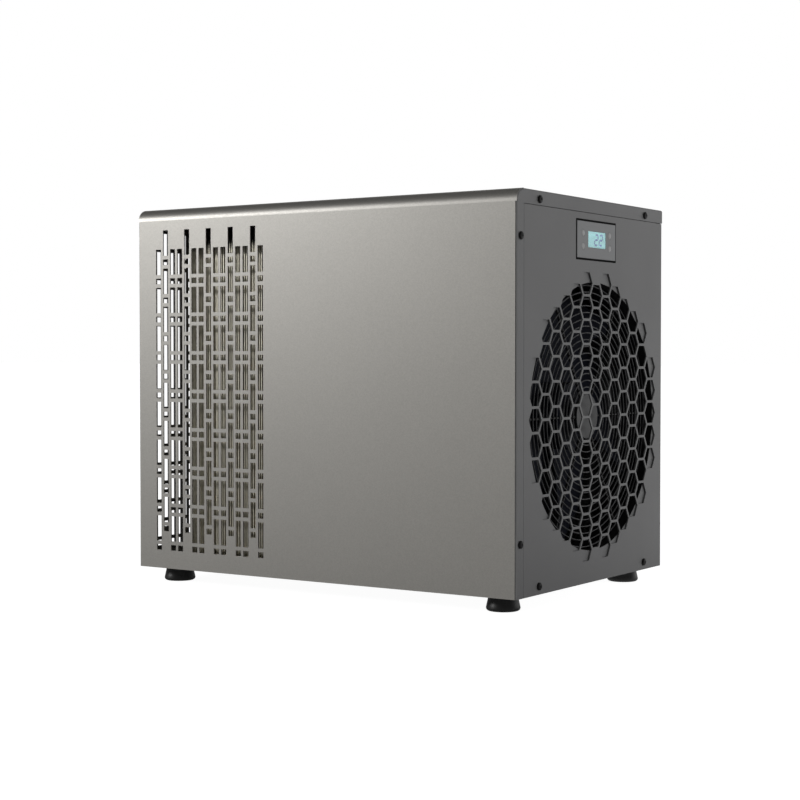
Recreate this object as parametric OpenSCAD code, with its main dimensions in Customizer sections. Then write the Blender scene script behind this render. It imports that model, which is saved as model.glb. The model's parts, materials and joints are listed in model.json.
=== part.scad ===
// Air-source heat pump for a small pool: sheet-metal panels on a base tray, round a finned
// L-shaped coil, a compressor, a water heat exchanger and an axial fan behind a honeycomb grille.
// X runs along the long side with the fan end at +X, the front faces -Y and Z is up.
// The origin is on the floor, at the middle of the box that holds the whole unit.
// Places on the end panels are given as u (depth behind the front) and v (height in the cabinet).

/* [Cabinet] */
// Width of the cabinet, from the intake end to the fan end
body_w = 434; // [392:1:480]
// Depth of the cabinet, from the fascia to the rear lip
body_d = 294; // [266:1:330]
// Height of the cabinet without its feet
body_h = 356.5; // [320:0.5:420]
// Thickness of the sheets
sheet_t = 1.2; // [0.8:0.1:1.5]
// Outer radius of the rolled top edge of the fascia
roll_r = 12; // [6:0.5:12.5]
// Width of the hood's strips down the front corners
edge_band = 12.5; // [10:0.5:13]
// Height of the hood's flanges along the ends and the rear
flange_h = 13; // [12.5:0.5:15]
// Outer radius of the folded sheet edges
bend_r = 2; // [1.6:0.1:3]
// Visible seam between neighbouring sheets
seam_gap = 0.6; // [0.3:0.1:1]
// Close seam between the hood's strips and the end panels
strip_gap = 0.3; // [0.2:0.05:0.6]
// How far the fascia's flat face stops short of each end
fascia_in = 1.4; // [1:0.1:1.8]
// Clearance between sheets that slide past each other
fit_gap = 0.15; // [0.05:0.05:0.3]
// Width of the hood's front legs behind the fascia
leg_w = 14; // [10:1:16]
// Width of the end panels' rear returns
return_w = 14; // [10:1:20]
// Height of the base tray's upstands
tray_h = 14; // [12:0.5:15]
// How far the end panels' tabs reach under the hood's flange
tab_reach = 9; // [8.5:0.1:9.5]
// Width of the tabs' overlap behind the end panels
tab_weld = 6; // [4:0.5:7]

/* [Ventilation slots] */
// Width of a slot
slot_w = 6.4; // [5:0.1:7]
// Distance from one column of the fascia to the next
slot_pitch = 9.14; // [8.5:0.02:9.6]
// Height of the long window of a slot
slot_long = 25.1; // [20:0.1:26]
// Height of the short window of a slot
slot_short = 5.6; // [4:0.1:6]
// Height of the bridges between the windows
slot_bridge = 3.5; // [2.5:0.05:4]
// Number of columns in the fascia
slot_columns = 15; // [9:1:18]
// Distance from the intake end to the middle of the fascia's first column
slot_first = 26.3; // [22:0.1:32]
// Distance from the front to the middle of the intake panel's first column
intake_first = 29.5; // [26:0.1:34]
// Distance from one column of the intake panel to the next
intake_pitch = 9.6; // [8.5:0.1:11]
// Distance from the top of the cabinet to the tall columns
slot_top = 21.5; // [18:0.5:26]
// Least distance from the low columns to the bottom of the cabinet
slot_bottom = 17; // [16:0.5:24]

/* [Fan grille] */
// Distance between the middles of neighbouring honeycomb cells
cell_pitch = 22.5; // [20:0.25:24]
// Width of the ribs between the cells
cell_rib = 2.35; // [1.8:0.05:3]
// How far the middles of the outermost cells may lie outside the shroud's mouth
grille_over = 5; // [0:0.5:6]

/* [Shroud and guard] */
// Gap between the fan panel and the shroud plate
shroud_gap = 0.5; // [0.4:0.1:2.5]
// Gap between the shroud plate and the tabs in front of it
shroud_front_gap = 0.45; // [0.3:0.05:4]
// Gap between the shroud plate and the rear panel
shroud_rear_gap = 10.35; // [8:0.05:20]
// Gap between the shroud plate and the tray below it
shroud_low_gap = 3.5; // [2:0.25:8]
// Gap between the shroud plate and the controller above it
shroud_top_gap = 4.75; // [2:0.25:8]
// Width of the rim that holds the shroud plate off the panel
shroud_rim = 2; // [1.5:0.1:2.3]
// Least distance from the shroud's round mouth to the edges of its plate
mouth_edge = 6; // [5:0.25:12]
// Length of the collar round the fan
collar_l = 34; // [30:1:40]
// Depth of the guard's face behind the outer face of the fan panel
guard_set = 9.25; // [8:0.25:13.5]
// Radius of the guard's ring wire
ring_wire_r = 0.6; // [0.5:0.05:1.1]
// Distance from one ring to the next
ring_pitch = 6.35; // [5.5:0.05:8]
// Radius of the guard's centre disc
disc_r = 21; // [18:0.5:24]
// Thickness of the guard's centre disc
disc_t = 2.5; // [2.2:0.1:2.8]
// Number of spokes behind the rings
spoke_count = 6; // [3:1:8]
// Radius of the spoke wire
spoke_r = 1.25; // [1:0.05:1.4]
// Depth to which welded wires sink into each other
weld = 0.3; // [0.2:0.05:0.4]

/* [Fan] */
// Depth of the hub's front behind the outer face of the fan panel
hub_set = 24.5; // [24.2:0.1:27]
// Radius of the hub
hub_r = 32; // [28:0.5:36]
// Length of the hub
hub_l = 35; // [34:0.5:38]
// Thickness of the hub's wall
hub_wall = 3; // [2:0.25:4]
// Gap between the blade tips and the collar
tip_gap = 6; // [4:0.5:10]
// Number of blades
blade_count = 5; // [3:1:5]
// Thickness of a blade
blade_t = 2.2; // [1.6:0.1:3]
// Radius of the camber of a blade
camber_r = 200; // [180:5:260]
// Pitch angle of a blade at its middle
blade_pitch = 16; // [12:1:18]
// Depth of the blade's middle behind the hub's front
blade_set = 26; // [25.5:0.5:28]
// Radius of the motor shaft
shaft_r = 4; // [3:0.25:5]
// Running clearance round the shaft
shaft_fit = 0.05; // [0.02:0.01:0.1]
// Height of the fan nut
fan_nut_h = 4.5; // [3.5:0.25:4.75]
// Width of the fan nut over its corners
fan_nut_d = 15; // [13:0.5:18]
// Gap between the hub and the motor
motor_gap = 5; // [3:0.5:8]
// Radius of the motor
motor_r = 38; // [32:1:42]
// Length of the motor
motor_l = 60; // [50:1:66]
// Width of the motor bracket
bracket_w = 92; // [88:1:100]
// Depth of the motor bracket's flanges
bracket_d = 18; // [12:1:22]
// Height of the motor bracket above the fan's axis
bracket_top = 58; // [50:1:66]

/* [Controller] */
// Depth of the controller's middle behind the front
ctl_u = 149.6; // [120:0.2:170]
// Distance from the top of the cabinet to the controller's middle
ctl_drop = 38.4; // [38:0.1:40.5]
// Width of the controller's cut-out
ctl_w = 81.25; // [78:0.25:86]
// Height of the controller's cut-out
ctl_h = 37.7; // [36:0.1:38.5]
// Width of the gasket's visible edge
gasket_w = 2; // [1.2:0.1:2.4]
// Width of the gasket's lip behind the panel
gasket_lip = 3; // [2:0.1:3.4]
// Thickness of the gasket's lip
gasket_t = 1.5; // [1:0.1:2]
// Height of the controller's face above the panel
face_proud = 0.4; // [0:0.1:0.8]
// Depth of the controller's housing behind the panel
housing_l = 30; // [24:1:40]
// Width of the display window
window_w = 35.5; // [32:0.5:39]
// Height of the display window
window_h = 14.75; // [12:0.25:18]
// How far the window lies behind and above the controller's middle
window_off = 0.8; // [0:0.1:1]
// Thickness of the display window
window_t = 0.8; // [0.6:0.1:1.6]
// Thickness of the display behind the window
display_t = 2; // [1.5:0.1:3]
// Radius of a key
key_r = 3; // [2.4:0.1:3.6]
// Distance between the two columns of keys
key_span_u = 53.75; // [52:0.25:58]
// Distance between the two rows of keys
key_span_v = 12; // [11:0.25:13]
// Travel of a key
key_travel = 0.8; // [0.4:0.1:1]
// Sliding clearance round a key
key_fit = 0.15; // [0.1:0.05:0.25]
// Height of a key above the controller's face
key_proud = 0.3; // [0.1:0.05:0.5]
// Thickness of the controller's face round the keys
key_wall = 2.4; // [1.8:0.1:3]
// Thickness of the collar that holds a key in the housing
key_collar = 1; // [0.6:0.1:1.4]

/* [Feet and screws] */
// Height of the feet
foot_h = 14.5; // [13:0.5:22]
// Radius of a foot at the floor
foot_r = 15.4; // [14:0.2:18]
// Radius of a foot at the tray
foot_top_r = 13; // [12:0.2:15]
// Distance from the ends to the middle of a foot
foot_in_x = 28.9; // [26:0.1:36]
// Distance from the front and the rear to the middle of a foot
foot_in_y = 27.8; // [26:0.1:29]
// Radius of the rounded lip of a foot
foot_lip = 2; // [1:0.1:3]
// Radius of the recess for the bolt's head
foot_recess_r = 8; // [7.5:0.1:10]
// Height of the recess for the bolt's head
foot_recess_h = 6.5; // [5:0.25:8]
// Height of the foot bolts' heads
bolt_head_h = 4; // [3:0.25:4.5]
// Height of the foot nuts
foot_nut_h = 5; // [4:0.25:6]
// Radius of the foot bolts
foot_bolt_r = 3; // [2.5:0.25:3.5]
// Radius of a screw head
head_r = 3.5; // [3:0.1:4]
// Height of a screw head
head_h = 2.3; // [1.8:0.1:3]
// Height of the straight rim of a screw head
head_rim = 0.8; // [0.4:0.1:1.2]
// Radius of a screw
screw_r = 1.8; // [1.5:0.1:2]
// Length of a screw under its head
screw_l = 6; // [5:0.5:7]
// Clearance round a screw or bolt
screw_fit = 0.15; // [0.1:0.05:0.3]
// Distance from the front and the rear to the upper and lower end screws
screw_in_u = 40.5; // [32:0.5:60]
// Height of the lowest screws in the cabinet
screw_low = 7.5; // [6.5:0.1:8]
// Distance from the top to the screws of the hood's flanges
flange_screw_drop = 7.8; // [6:0.1:8.5]
// Distance from the front to the screws of the hood's strips
strip_screw_u = 6.8; // [6:0.1:7.2]
// Distance from the top to the upper screws of the strips and the rear corners
strip_screw_drop = 41.5; // [36:0.5:60]
// Height in the cabinet of the lower screws of the strips and the rear corners
strip_screw_low = 47.5; // [36:0.5:60]
// Distance from the ends to the rear lip's screws
screw_in_x = 60; // [40:1:90]

/* [Evaporator] */
// Gap between the outside of the cabinet and the coil
coil_gap = 15; // [13:0.5:17]
// Depth of the coil
coil_d = 20; // [16:0.5:22]
// Outer radius of the coil's corner
coil_r = 72; // [66:0.5:76]
// Distance from the intake end to the end of the coil's front leg
coil_end = 168; // [164:0.5:172]
// Gap between the coil and the top of the cabinet
coil_top_gap = 33.3; // [26:0.1:45]
// Distance from one fin to the next
fin_pitch = 4.5; // [4:0.1:6]
// Thickness of a fin
fin_t = 0.4; // [0.3:0.05:0.6]
// Radius of the coil's tubes
tube_r = 4; // [3.5:0.1:4.75]
// Distance from one tube to the next
tube_pitch = 25.4; // [24:0.2:26]
// Interference of the tubes expanded into the fins
fin_grip = 0.05; // [0.02:0.01:0.1]
// Thickness of the coil's end plates
plate_t = 1.5; // [1:0.1:2]
// Length of tube that stands out of an end plate
tube_out = 5; // [4:0.5:6]

/* [Machine] */
// Gap between the compressor and the foot of the motor bracket
compressor_side = 25.5; // [14:0.5:32]
// Gap between the compressor and the coil in front of it
compressor_gap = 19; // [15:0.5:22]
// Radius of the compressor
compressor_r = 48; // [44:0.5:49]
// Height of the compressor's shell
compressor_h = 150; // [130:1:165]
// Distance from the compressor's shell to its studs
stud_out = 12; // [11:0.5:14]
// Radius of the compressor's studs
stud_r = 3; // [2.5:0.25:3.5]
// Height of the studs' heads
stud_head_h = 4; // [3:0.25:4.5]
// Radius of the compressor's rubber grommets
grommet_r = 11; // [9:0.5:12]
// Height of the compressor's rubber grommets
grommet_h = 10; // [8:0.5:14]
// Gap between the compressor and the accumulator
accumulator_gap = 12; // [8:0.5:16]
// Radius of the accumulator
accumulator_r = 24; // [20:0.5:26]
// Length of the accumulator
accumulator_h = 110; // [90:1:120]
// Gap between the heat exchanger and the filter drier
exchanger_gap = 3; // [2:0.25:8]
// Radius of the heat exchanger
exchanger_r = 50; // [46:0.5:51]
// Height of the heat exchanger
exchanger_h = 224; // [214:1:232]
// How far the heat exchanger's end caps stand out round it
cap_over = 3; // [2:0.25:4]
// Height of the heat exchanger's end caps
cap_h = 14; // [10:0.5:18]
// Length of the heat exchanger's water stubs beyond its caps
port_stub = 8.6; // [6:0.2:10]
// Height of the heat exchanger's base ring
exchanger_foot = 6; // [4:0.5:10]
// Radius of the refrigerant pipes
pipe_r = 3.5; // [3:0.1:4]
// Bend radius of the refrigerant pipes
pipe_bend = 11; // [9:0.5:12]
// Bend radius of the thin feed pipe
feed_bend = 8; // [7:0.25:9]
// Length of the pipe stubs
stub_h = 14; // [12:0.5:15]
// Gap between the coil and the filter drier
drier_gap = 19; // [17:0.5:24]
// Radius of the filter drier
drier_r = 10; // [8:0.5:12]
// Length of the filter drier
drier_l = 60; // [50:1:66]

/* [Water and cable ports] */
// Height of the water inlet above the heat exchanger's bottom
inlet_rise = 58.8; // [50:0.2:70]
// Distance from the heat exchanger's top down to the water outlet
outlet_drop = 37.2; // [36:0.2:60]
// Radius of the hose tails
tail_r = 19; // [16:0.5:19]
// Length of the hose tails
tail_l = 34; // [28:1:40]
// Radius of the water bore
water_r = 14; // [11:0.5:15]
// Radius of the ports' shank through the rear panel
shank_r = 20; // [19.5:0.1:21]
// Length of the ports' shank inside the cabinet
shank_l = 22; // [18:0.5:23]
// Radius of the ports' outer collar
port_collar_r = 27; // [25:0.5:30]
// Thickness of the ports' outer collar
port_collar_t = 6; // [4:0.5:8]
// Thickness of the ports' seals
seal_t = 2; // [1.5:0.1:3]
// Width of the bulkhead nuts over their corners
bulkhead_d = 58; // [56:1:62]
// Thickness of the bulkhead nuts
bulkhead_t = 8; // [6:0.5:10]
// Distance from the fan end to the cable gland
gland_in = 60; // [48:1:80]
// Height of the cable gland in the cabinet
gland_v = 50; // [44:1:60]
// Radius of the cable bore
cable_r = 4; // [3:0.25:5]
// Radius of the gland's thread
gland_r = 8; // [7.5:0.25:9]
// Width of the gland's hexagons over their corners
gland_d = 25; // [22:0.5:28]
// Length of the gland outside the cabinet
gland_l = 20; // [16:1:26]
// Gap between the coil and the condensate nipple
nipple_gap = 17; // [13:0.5:24]
// Distance from the rear to the middle of the condensate nipple
nipple_in = 50; // [44:1:60]
// Radius of the condensate nipple
nipple_r = 8; // [6:0.5:9]
// Length of the condensate nipple below its flange
nipple_l = 9; // [7:0.5:10]
// Wall of the condensate nipple
nipple_wall = 1.5; // [1:0.1:2]
// How far the condensate nipple's flange stands out round it
nipple_rim = 4; // [3:0.25:5]
// Thickness of the condensate nipple's flange
nipple_rim_t = 2; // [1.5:0.1:3]

/* [Control box] */
// Distance from the fan end to the near wall of the control box
box_in = 70; // [68:1:90]
// Width of the control box
box_w = 100; // [90:1:110]
// Depth of the control box
box_d = 62; // [56:1:66]
// Height of the control box
box_h = 88; // [76:1:92]
// Distance from the top of the cabinet to the control box
box_drop = 14; // [12:0.5:20]
// Radius of the run capacitor
capacitor_r = 18; // [14:0.5:20]
// Height of the run capacitor
capacitor_h = 64; // [50:1:68]
// Width of the terminal block
block_w = 46; // [36:1:50]
// Depth of the terminal block
block_d = 18; // [14:1:22]
// Height of the terminal block
block_h = 20; // [16:1:26]
// Height of the terminal block above the box's floor
block_up = 24; // [10:1:40]
// Radius of the terminal block's screw wells
well_r = 3.5; // [2.5:0.25:4]
// Depth of the terminal block's screw wells
well_h = 7; // [5:0.5:9]

/* [Hidden] */
$fn = 48;

x_right = body_w / 2;
x_left = -x_right;
rear_reach = port_collar_t + seal_t + tail_l - sheet_t;
y_front = -(body_d + rear_reach) / 2;
y_back = y_front + body_d;
z_base = foot_h;
z_top = z_base + body_h;
z_floor = z_base + sheet_t;

paint = [0.36, 0.36, 0.36];
silver = [0.68, 0.67, 0.65];
black = [0.08, 0.08, 0.08];
zinc = [0.72, 0.73, 0.74];
copper = [0.72, 0.42, 0.26];
fin_metal = [0.70, 0.66, 0.56];
plastic = [0.78, 0.78, 0.76];

// Small overlap that carries a cut clear of a face
cut = 1;

// Rows of slots in the height, and columns in the intake panel
slot_repeat = slot_long + slot_short + 2 * slot_bridge;
slot_room = body_h - slot_top - slot_bottom - slot_repeat / 2 + slot_bridge;
slot_rows = floor(slot_room / slot_repeat);
intake_columns = 1 + floor((body_d - intake_first - return_w - slot_w - tab_weld) / intake_pitch);

// The shroud plate fills the room between tabs, rear panel, tray and controller
shroud_u = edge_band + strip_gap + tab_weld + shroud_front_gap;
shroud_v = tray_h + shroud_low_gap;
ctl_v = body_h - ctl_drop;
shroud_w = body_d - 2 * sheet_t - shroud_rear_gap - shroud_u;
shroud_h = ctl_v - ctl_h / 2 - gasket_lip - shroud_top_gap - shroud_v;
mouth_r = min(shroud_w, shroud_h) / 2 - mouth_edge;
grille_r = mouth_r + grille_over;
fan_u = shroud_u + shroud_w / 2;
fan_v = shroud_v + shroud_h / 2;

// Distance from the outer face of the fan end to the layers behind it
shroud_set = sheet_t + shroud_gap;
spoke_set = guard_set + 2 * ring_wire_r + spoke_r - weld;
motor_set = hub_set + hub_l + motor_gap;
bracket_set = motor_set + motor_l;
ring_count = floor((mouth_r - ring_wire_r - disc_r - 1) / ring_pitch);
tip_r = mouth_r - tip_gap;
shaft_front = hub_set - fan_nut_h - 1;
shaft_in_motor = motor_l / 2;
y_fan = y_front + fan_u;

// Layers of the controller behind the outer face of the fan panel
gasket_back = sheet_t + gasket_t;
face_set = -face_proud;
housing_flange = 2;
face_w = ctl_w - 2 * gasket_w;
face_h = ctl_h - 2 * gasket_w;
key_room = key_collar + key_travel + 1;

// The coil's corner and its tubes, as seen from above
// It ends in front of the rear feet's nuts
coil_back_gap = 3;
coil_h = body_h - sheet_t - coil_top_gap;
coil_mid = coil_gap + coil_d / 2;
coil_bend = coil_r - coil_d / 2;
coil_rear = body_d - foot_in_y - 2 * foot_bolt_r - plate_t - coil_back_gap;
tube_count = 2 * floor(coil_h / tube_pitch / 2);
tube_first = (coil_h - (tube_count - 1) * tube_pitch) / 2;
z_tube_low = z_floor + tube_first;
z_tube_high = z_tube_low + (tube_count - 1) * tube_pitch;
y_tube = y_front + coil_mid;
front_leg = coil_end - coil_gap - coil_r;
rear_leg = coil_rear - coil_gap - coil_r;
bend_fins = round(coil_bend * PI / 2 / fin_pitch);
// Length of the coil's stubs beyond its return bends
stub_l = tube_out + tube_pitch / 2 + tube_r + 3;
x_stub = x_left + coil_end + plate_t + stub_l;

// Places of the machine's pieces
bracket_t = 2;
bracket_foot = 34;
x_bracket = x_right - bracket_set - bracket_t;
x_compressor = x_bracket - bracket_foot - compressor_side - compressor_r;
y_compressor = y_front + coil_gap + coil_d + compressor_gap + compressor_r;
z_shell = z_floor + grommet_h + 3;
compressor_dome = 26;
x_accumulator = x_compressor - compressor_r - accumulator_gap - accumulator_r;
x_cover = x_compressor - compressor_r * 0.3;
cover_r = 17;
cover_h = 20;
cover_wall = 2;
x_discharge = x_compressor + compressor_r / 2;
z_suction = z_shell + 32;
z_accumulator = z_suction + pipe_bend + 16;
x_drier = x_left + coil_gap + coil_d + drier_gap + drier_r;
exchanger_cap_r = exchanger_r + cap_over;
y_shank_end = y_back - 2 * sheet_t - shank_l;
x_exchanger = x_drier + drier_r + exchanger_gap + exchanger_cap_r;
y_exchanger = y_shank_end - port_stub - exchanger_cap_r;
z_exchanger = z_floor + exchanger_foot;
x_gas = x_exchanger + exchanger_r * 0.4;
inlet_v = z_exchanger - z_base + inlet_rise;
outlet_v = z_exchanger - z_base + exchanger_h - outlet_drop;
z_liquid = z_floor + 40;
// End of the heat exchanger's liquid stub, one bend before the drier's line
x_liquid = x_drier + pipe_bend + 1;
z_over = z_exchanger + exchanger_h + 34;
mount_ring = compressor_r + stud_out;
stud_angles = [60, 180, 300];
x_box = x_right - box_in - box_w;
y_box = y_back - 2 * sheet_t - box_d;
z_box = z_top - box_drop - box_h;

// A flat sheet parallel to the ends, drawn in u and v, from x inwards by t
module end_sheet(x, t) {
    translate([x - t, y_front, z_base])
        rotate([90, 0, 90])
            linear_extrude(t)
                children();
}

// A flat sheet parallel to the front, drawn in x and v, from depth u backwards by t
module front_sheet(u, t) {
    translate([0, y_front + u + t, z_base])
        rotate([90, 0, 0])
            linear_extrude(t)
                children();
}

// A shape drawn along +Z, turned to point out of the fan end at u and v
module on_fan_end(u, v, depth) {
    translate([x_right - depth, y_front + u, z_base + v])
        rotate([0, 90, 0])
            children();
}

// A shape drawn along +Z, turned to point out of the rear at x and v
module on_rear(x, v, depth) {
    translate([x, y_back - depth, z_base + v])
        rotate([-90, 0, 0])
            children();
}

// The waste outside a rounded edge whose corner is at the origin
module edge_waste(r) {
    difference() {
        translate([-cut, -cut])
            square(r + cut);
        translate([r, r])
            circle(r);
    }
}

// Tops of the long windows in one column of slots, from the highest down
function window_tops(tall) =
    [for (k = [0 : slot_rows - 1]) body_h - slot_top - k * slot_repeat - (tall ? 0 : slot_repeat / 2)];

// Columns of long and short windows; every third column stands half a repeat higher
module slot_columns_cut(first, count, pitch) {
    for (i = [0 : count - 1])
        for (top = window_tops(i % 3 == 1))
            translate([first + i * pitch - slot_w / 2, 0]) {
                translate([0, top - slot_long])
                    square([slot_w, slot_long]);
                translate([0, top - slot_long - slot_bridge - slot_short])
                    square([slot_w, slot_short]);
            }
}

// Places of the screws on an end panel, as [u, v]
flange_screw_v = body_h - flange_screw_drop;
strip_screw_high = body_h - strip_screw_drop;
flange_screws = [
    [screw_in_u, flange_screw_v], [body_d - screw_in_u, flange_screw_v],
    [strip_screw_u, strip_screw_low], [strip_screw_u, strip_screw_high]
];
low_screws = [[screw_in_u, screw_low], [body_d - screw_in_u, screw_low]];
lip_screws = [-x_right + screw_in_x, x_right - screw_in_x];
return_screws = [strip_screw_low, strip_screw_high];
x_return_screw = x_right - return_w / 2;

module screw_holes_2d(places) {
    for (p = places)
        translate(p)
            circle(screw_r + screw_fit);
}

// A pan-head screw that points down -Z, with its head on the plane z = 0
module pan_screw() {
    dome_h = head_h - head_rim;
    dome = (head_r * head_r + dome_h * dome_h) / (2 * dome_h);
    translate([0, 0, -screw_l])
        cylinder(r = screw_r, h = screw_l);
    rotate_extrude()
        intersection() {
            translate([0, head_h - dome])
                circle(dome);
            square([head_r, head_h]);
        }
}

// The screws of one end, all on its outer face
module end_screws() {
    for (p = concat(flange_screws, low_screws))
        on_fan_end(p.x, p.y, 0)
            pan_screw();
}

// The hood's round corner, which closes the fascia's roll from inside
module hood_corner() {
    r = roll_r - sheet_t - 2 * fit_gap;
    end_sheet(x_right, sheet_t)
        translate([roll_r, body_h - roll_r])
            intersection() {
                circle(r);
                translate([-r, 0])
                    square([r + cut, r]);
            }
}

// One end of the hood: the strip down the front corner, its leg behind the fascia, and the corner
module hood_end() {
    strip_h = body_h - roll_r;
    edge_w = fascia_in - strip_gap;
    translate([x_right, y_front + sheet_t, z_base])
        difference() {
            union() {
                translate([-sheet_t, 0, 0])
                    cube([sheet_t, edge_band - sheet_t, strip_h + cut]);
                translate([-leg_w, 0, 0])
                    cube([leg_w, sheet_t, strip_h]);
                translate([-edge_w, -sheet_t, 0])
                    cube([edge_w, sheet_t + cut, strip_h - strip_gap]);
            }
            translate([0, -sheet_t, -cut])
                linear_extrude(strip_h + 3 * cut)
                    mirror([1, 0])
                        edge_waste(bend_r);
        }
    hood_corner();
}

module hood() {
    roof_w = body_w - 2 * sheet_t;
    color(paint)
        difference() {
            union() {
                translate([0, y_back, z_top])
                    rotate([90, 0, 0])
                        linear_extrude(body_d - roll_r)
                            difference() {
                                translate([x_left, -flange_h])
                                    square([body_w, flange_h]);
                                translate([-roof_w / 2, -flange_h - cut])
                                    square([roof_w, flange_h + cut - sheet_t]);
                                for (side = [0, 1])
                                    mirror([side, 0])
                                        translate([x_right, 0])
                                            rotate(180)
                                                edge_waste(bend_r);
                            }
                translate([-roof_w / 2, y_back - sheet_t, z_top - flange_h])
                    cube([roof_w, sheet_t, flange_h - sheet_t]);
                for (side = [0, 1])
                    mirror([side, 0, 0])
                        hood_end();
            }
            translate([x_left - cut, y_front + roll_r - cut, z_top - sheet_t - fit_gap])
                cube([body_w + 2 * cut, seam_gap + cut, sheet_t + fit_gap + cut]);
            for (side = [0, 1])
                mirror([side, 0, 0])
                    for (p = flange_screws)
                        on_fan_end(p.x, p.y, sheet_t + cut)
                            cylinder(r = screw_r + screw_fit, h = sheet_t + 2 * cut);
            for (x = lip_screws)
                on_rear(x, flange_screw_v, sheet_t + cut)
                    cylinder(r = screw_r + screw_fit, h = sheet_t + 2 * cut);
        }
}

module front_fascia() {
    tongue_w = body_w - 4 * sheet_t - 2 * fit_gap;
    tongue_l = 14;
    color(silver) {
        front_sheet(0, sheet_t)
            difference() {
                translate([x_left + fascia_in, 0])
                    square([body_w - 2 * fascia_in, body_h - roll_r]);
                slot_columns_cut(x_left + slot_first, slot_columns, slot_pitch);
            }
        end_sheet(x_right, body_w)
            translate([roll_r, body_h - roll_r])
                intersection() {
                    difference() {
                        circle(roll_r);
                        circle(roll_r - sheet_t);
                    }
                    translate([-roll_r, 0])
                        square(roll_r);
                }
        end_sheet(tongue_w / 2, tongue_w)
            translate([roll_r - 3, body_h - 2 * sheet_t])
                square([tongue_l, sheet_t]);
    }
}

// An end panel with its tabs under the hood's flange and its return round the rear corner
module end_panel() {
    inner_u = edge_band + strip_gap;
    top_v = body_h - flange_h - seam_gap;
    tab_u = edge_band - tab_reach;
    tab_v = max(top_v - tab_weld, ctl_v + ctl_h / 2 + gasket_lip + 0.5);
    corner = [roll_r + 1, body_h - roll_r - 1];
    difference() {
        union() {
            end_sheet(x_right, sheet_t)
                difference() {
                    translate([inner_u, 0])
                        square([body_d - inner_u, top_v]);
                    children();
                }
            translate([x_right - return_w, y_back - sheet_t, z_base])
                cube([return_w, sheet_t, top_v]);
            end_sheet(x_right - sheet_t, sheet_t)
                difference() {
                    translate([tab_u, tray_h + 1])
                        square([body_d - return_w - tab_u, body_h - sheet_t - fit_gap - tray_h - 1]);
                    translate([inner_u + tab_weld, 0])
                        square([body_d, tab_v]);
                    translate([0, corner.y])
                        square([corner.x, roll_r + 1]);
                    screw_holes_2d(flange_screws);
                }
        }
        translate([x_right, y_back, z_base - cut])
            linear_extrude(body_h)
                rotate(180)
                    edge_waste(bend_r);
        for (v = return_screws)
            on_rear(x_return_screw, v, sheet_t + cut)
                cylinder(r = screw_r + screw_fit, h = sheet_t + 2 * cut);
    }
}

// Flat-topped hexagonal cells whose middles lie inside the grille's radius
module honeycomb_2d() {
    column_pitch = cell_pitch * sqrt(3) / 2;
    reach = ceil(grille_r / column_pitch);
    for (i = [-reach : reach])
        for (j = [-reach : reach]) {
            middle = [i * column_pitch, (j + (abs(i) % 2) / 2) * cell_pitch];
            if (norm(middle) < grille_r)
                translate(middle)
                    circle(r = (cell_pitch - cell_rib) / sqrt(3), $fn = 6);
        }
}

module fan_panel() {
    color(paint)
        end_panel() {
            translate([fan_u, fan_v])
                honeycomb_2d();
            translate([ctl_u, ctl_v])
                square([ctl_w, ctl_h], center = true);
            screw_holes_2d(low_screws);
        }
}

module intake_panel() {
    color(paint)
        mirror([1, 0, 0])
            end_panel() {
                slot_columns_cut(intake_first, intake_columns, intake_pitch);
                screw_holes_2d(low_screws);
            }
}

module rear_panel() {
    w = body_w - 2 * sheet_t - 2 * fit_gap;
    color(paint)
        front_sheet(body_d - 2 * sheet_t, sheet_t)
            difference() {
                translate([-w / 2, 0])
                    square([w, body_h - sheet_t - fit_gap]);
                for (v = [inlet_v, outlet_v])
                    translate([x_exchanger, v])
                        circle(shank_r + fit_gap);
                translate([x_right - gland_in, gland_v])
                    circle(gland_r + fit_gap);
                for (x = lip_screws)
                    screw_holes_2d([[x, screw_low], [x, flange_screw_v]]);
                for (v = return_screws)
                    screw_holes_2d([[-x_return_screw, v], [x_return_screw, v]]);
            }
}

// Places of the three compressor studs round the compressor's axis
function stud_places() =
    [for (a = stud_angles) [x_compressor + mount_ring * cos(a), y_compressor + mount_ring * sin(a)]];

function foot_places() =
    [for (x = [x_left + foot_in_x, x_right - foot_in_x])
        for (y = [y_front + foot_in_y, y_back - foot_in_y]) [x, y]];

x_nipple = x_left + coil_gap + coil_d + nipple_gap + nipple_r;
y_nipple = y_back - nipple_in;
nipple_neck_r = nipple_r - nipple_wall / 3;

module base_tray() {
    w = body_w - 2 * sheet_t;
    d = body_d - 4 * sheet_t;
    color(zinc)
        difference() {
            translate([-w / 2, y_front + 2 * sheet_t, z_base])
                cube([w, d, tray_h]);
            translate([-w / 2 + sheet_t, y_front + 3 * sheet_t, z_floor])
                cube([w - 2 * sheet_t, d - 2 * sheet_t, tray_h]);
            for (p = foot_places())
                translate([p.x, p.y, z_base - cut])
                    cylinder(r = foot_bolt_r + screw_fit, h = sheet_t + 2 * cut);
            translate([x_nipple, y_nipple, z_base - cut])
                cylinder(r = nipple_neck_r + fit_gap, h = sheet_t + 2 * cut);
            for (side = [0, 1])
                mirror([side, 0, 0])
                    for (p = low_screws)
                        on_fan_end(p.x, p.y, 2 * sheet_t + cut)
                            cylinder(r = screw_r + screw_fit, h = sheet_t + 2 * cut);
            for (x = lip_screws)
                on_rear(x, screw_low, 3 * sheet_t + cut)
                    cylinder(r = screw_r + screw_fit, h = sheet_t + 2 * cut);
        }
}

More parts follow.
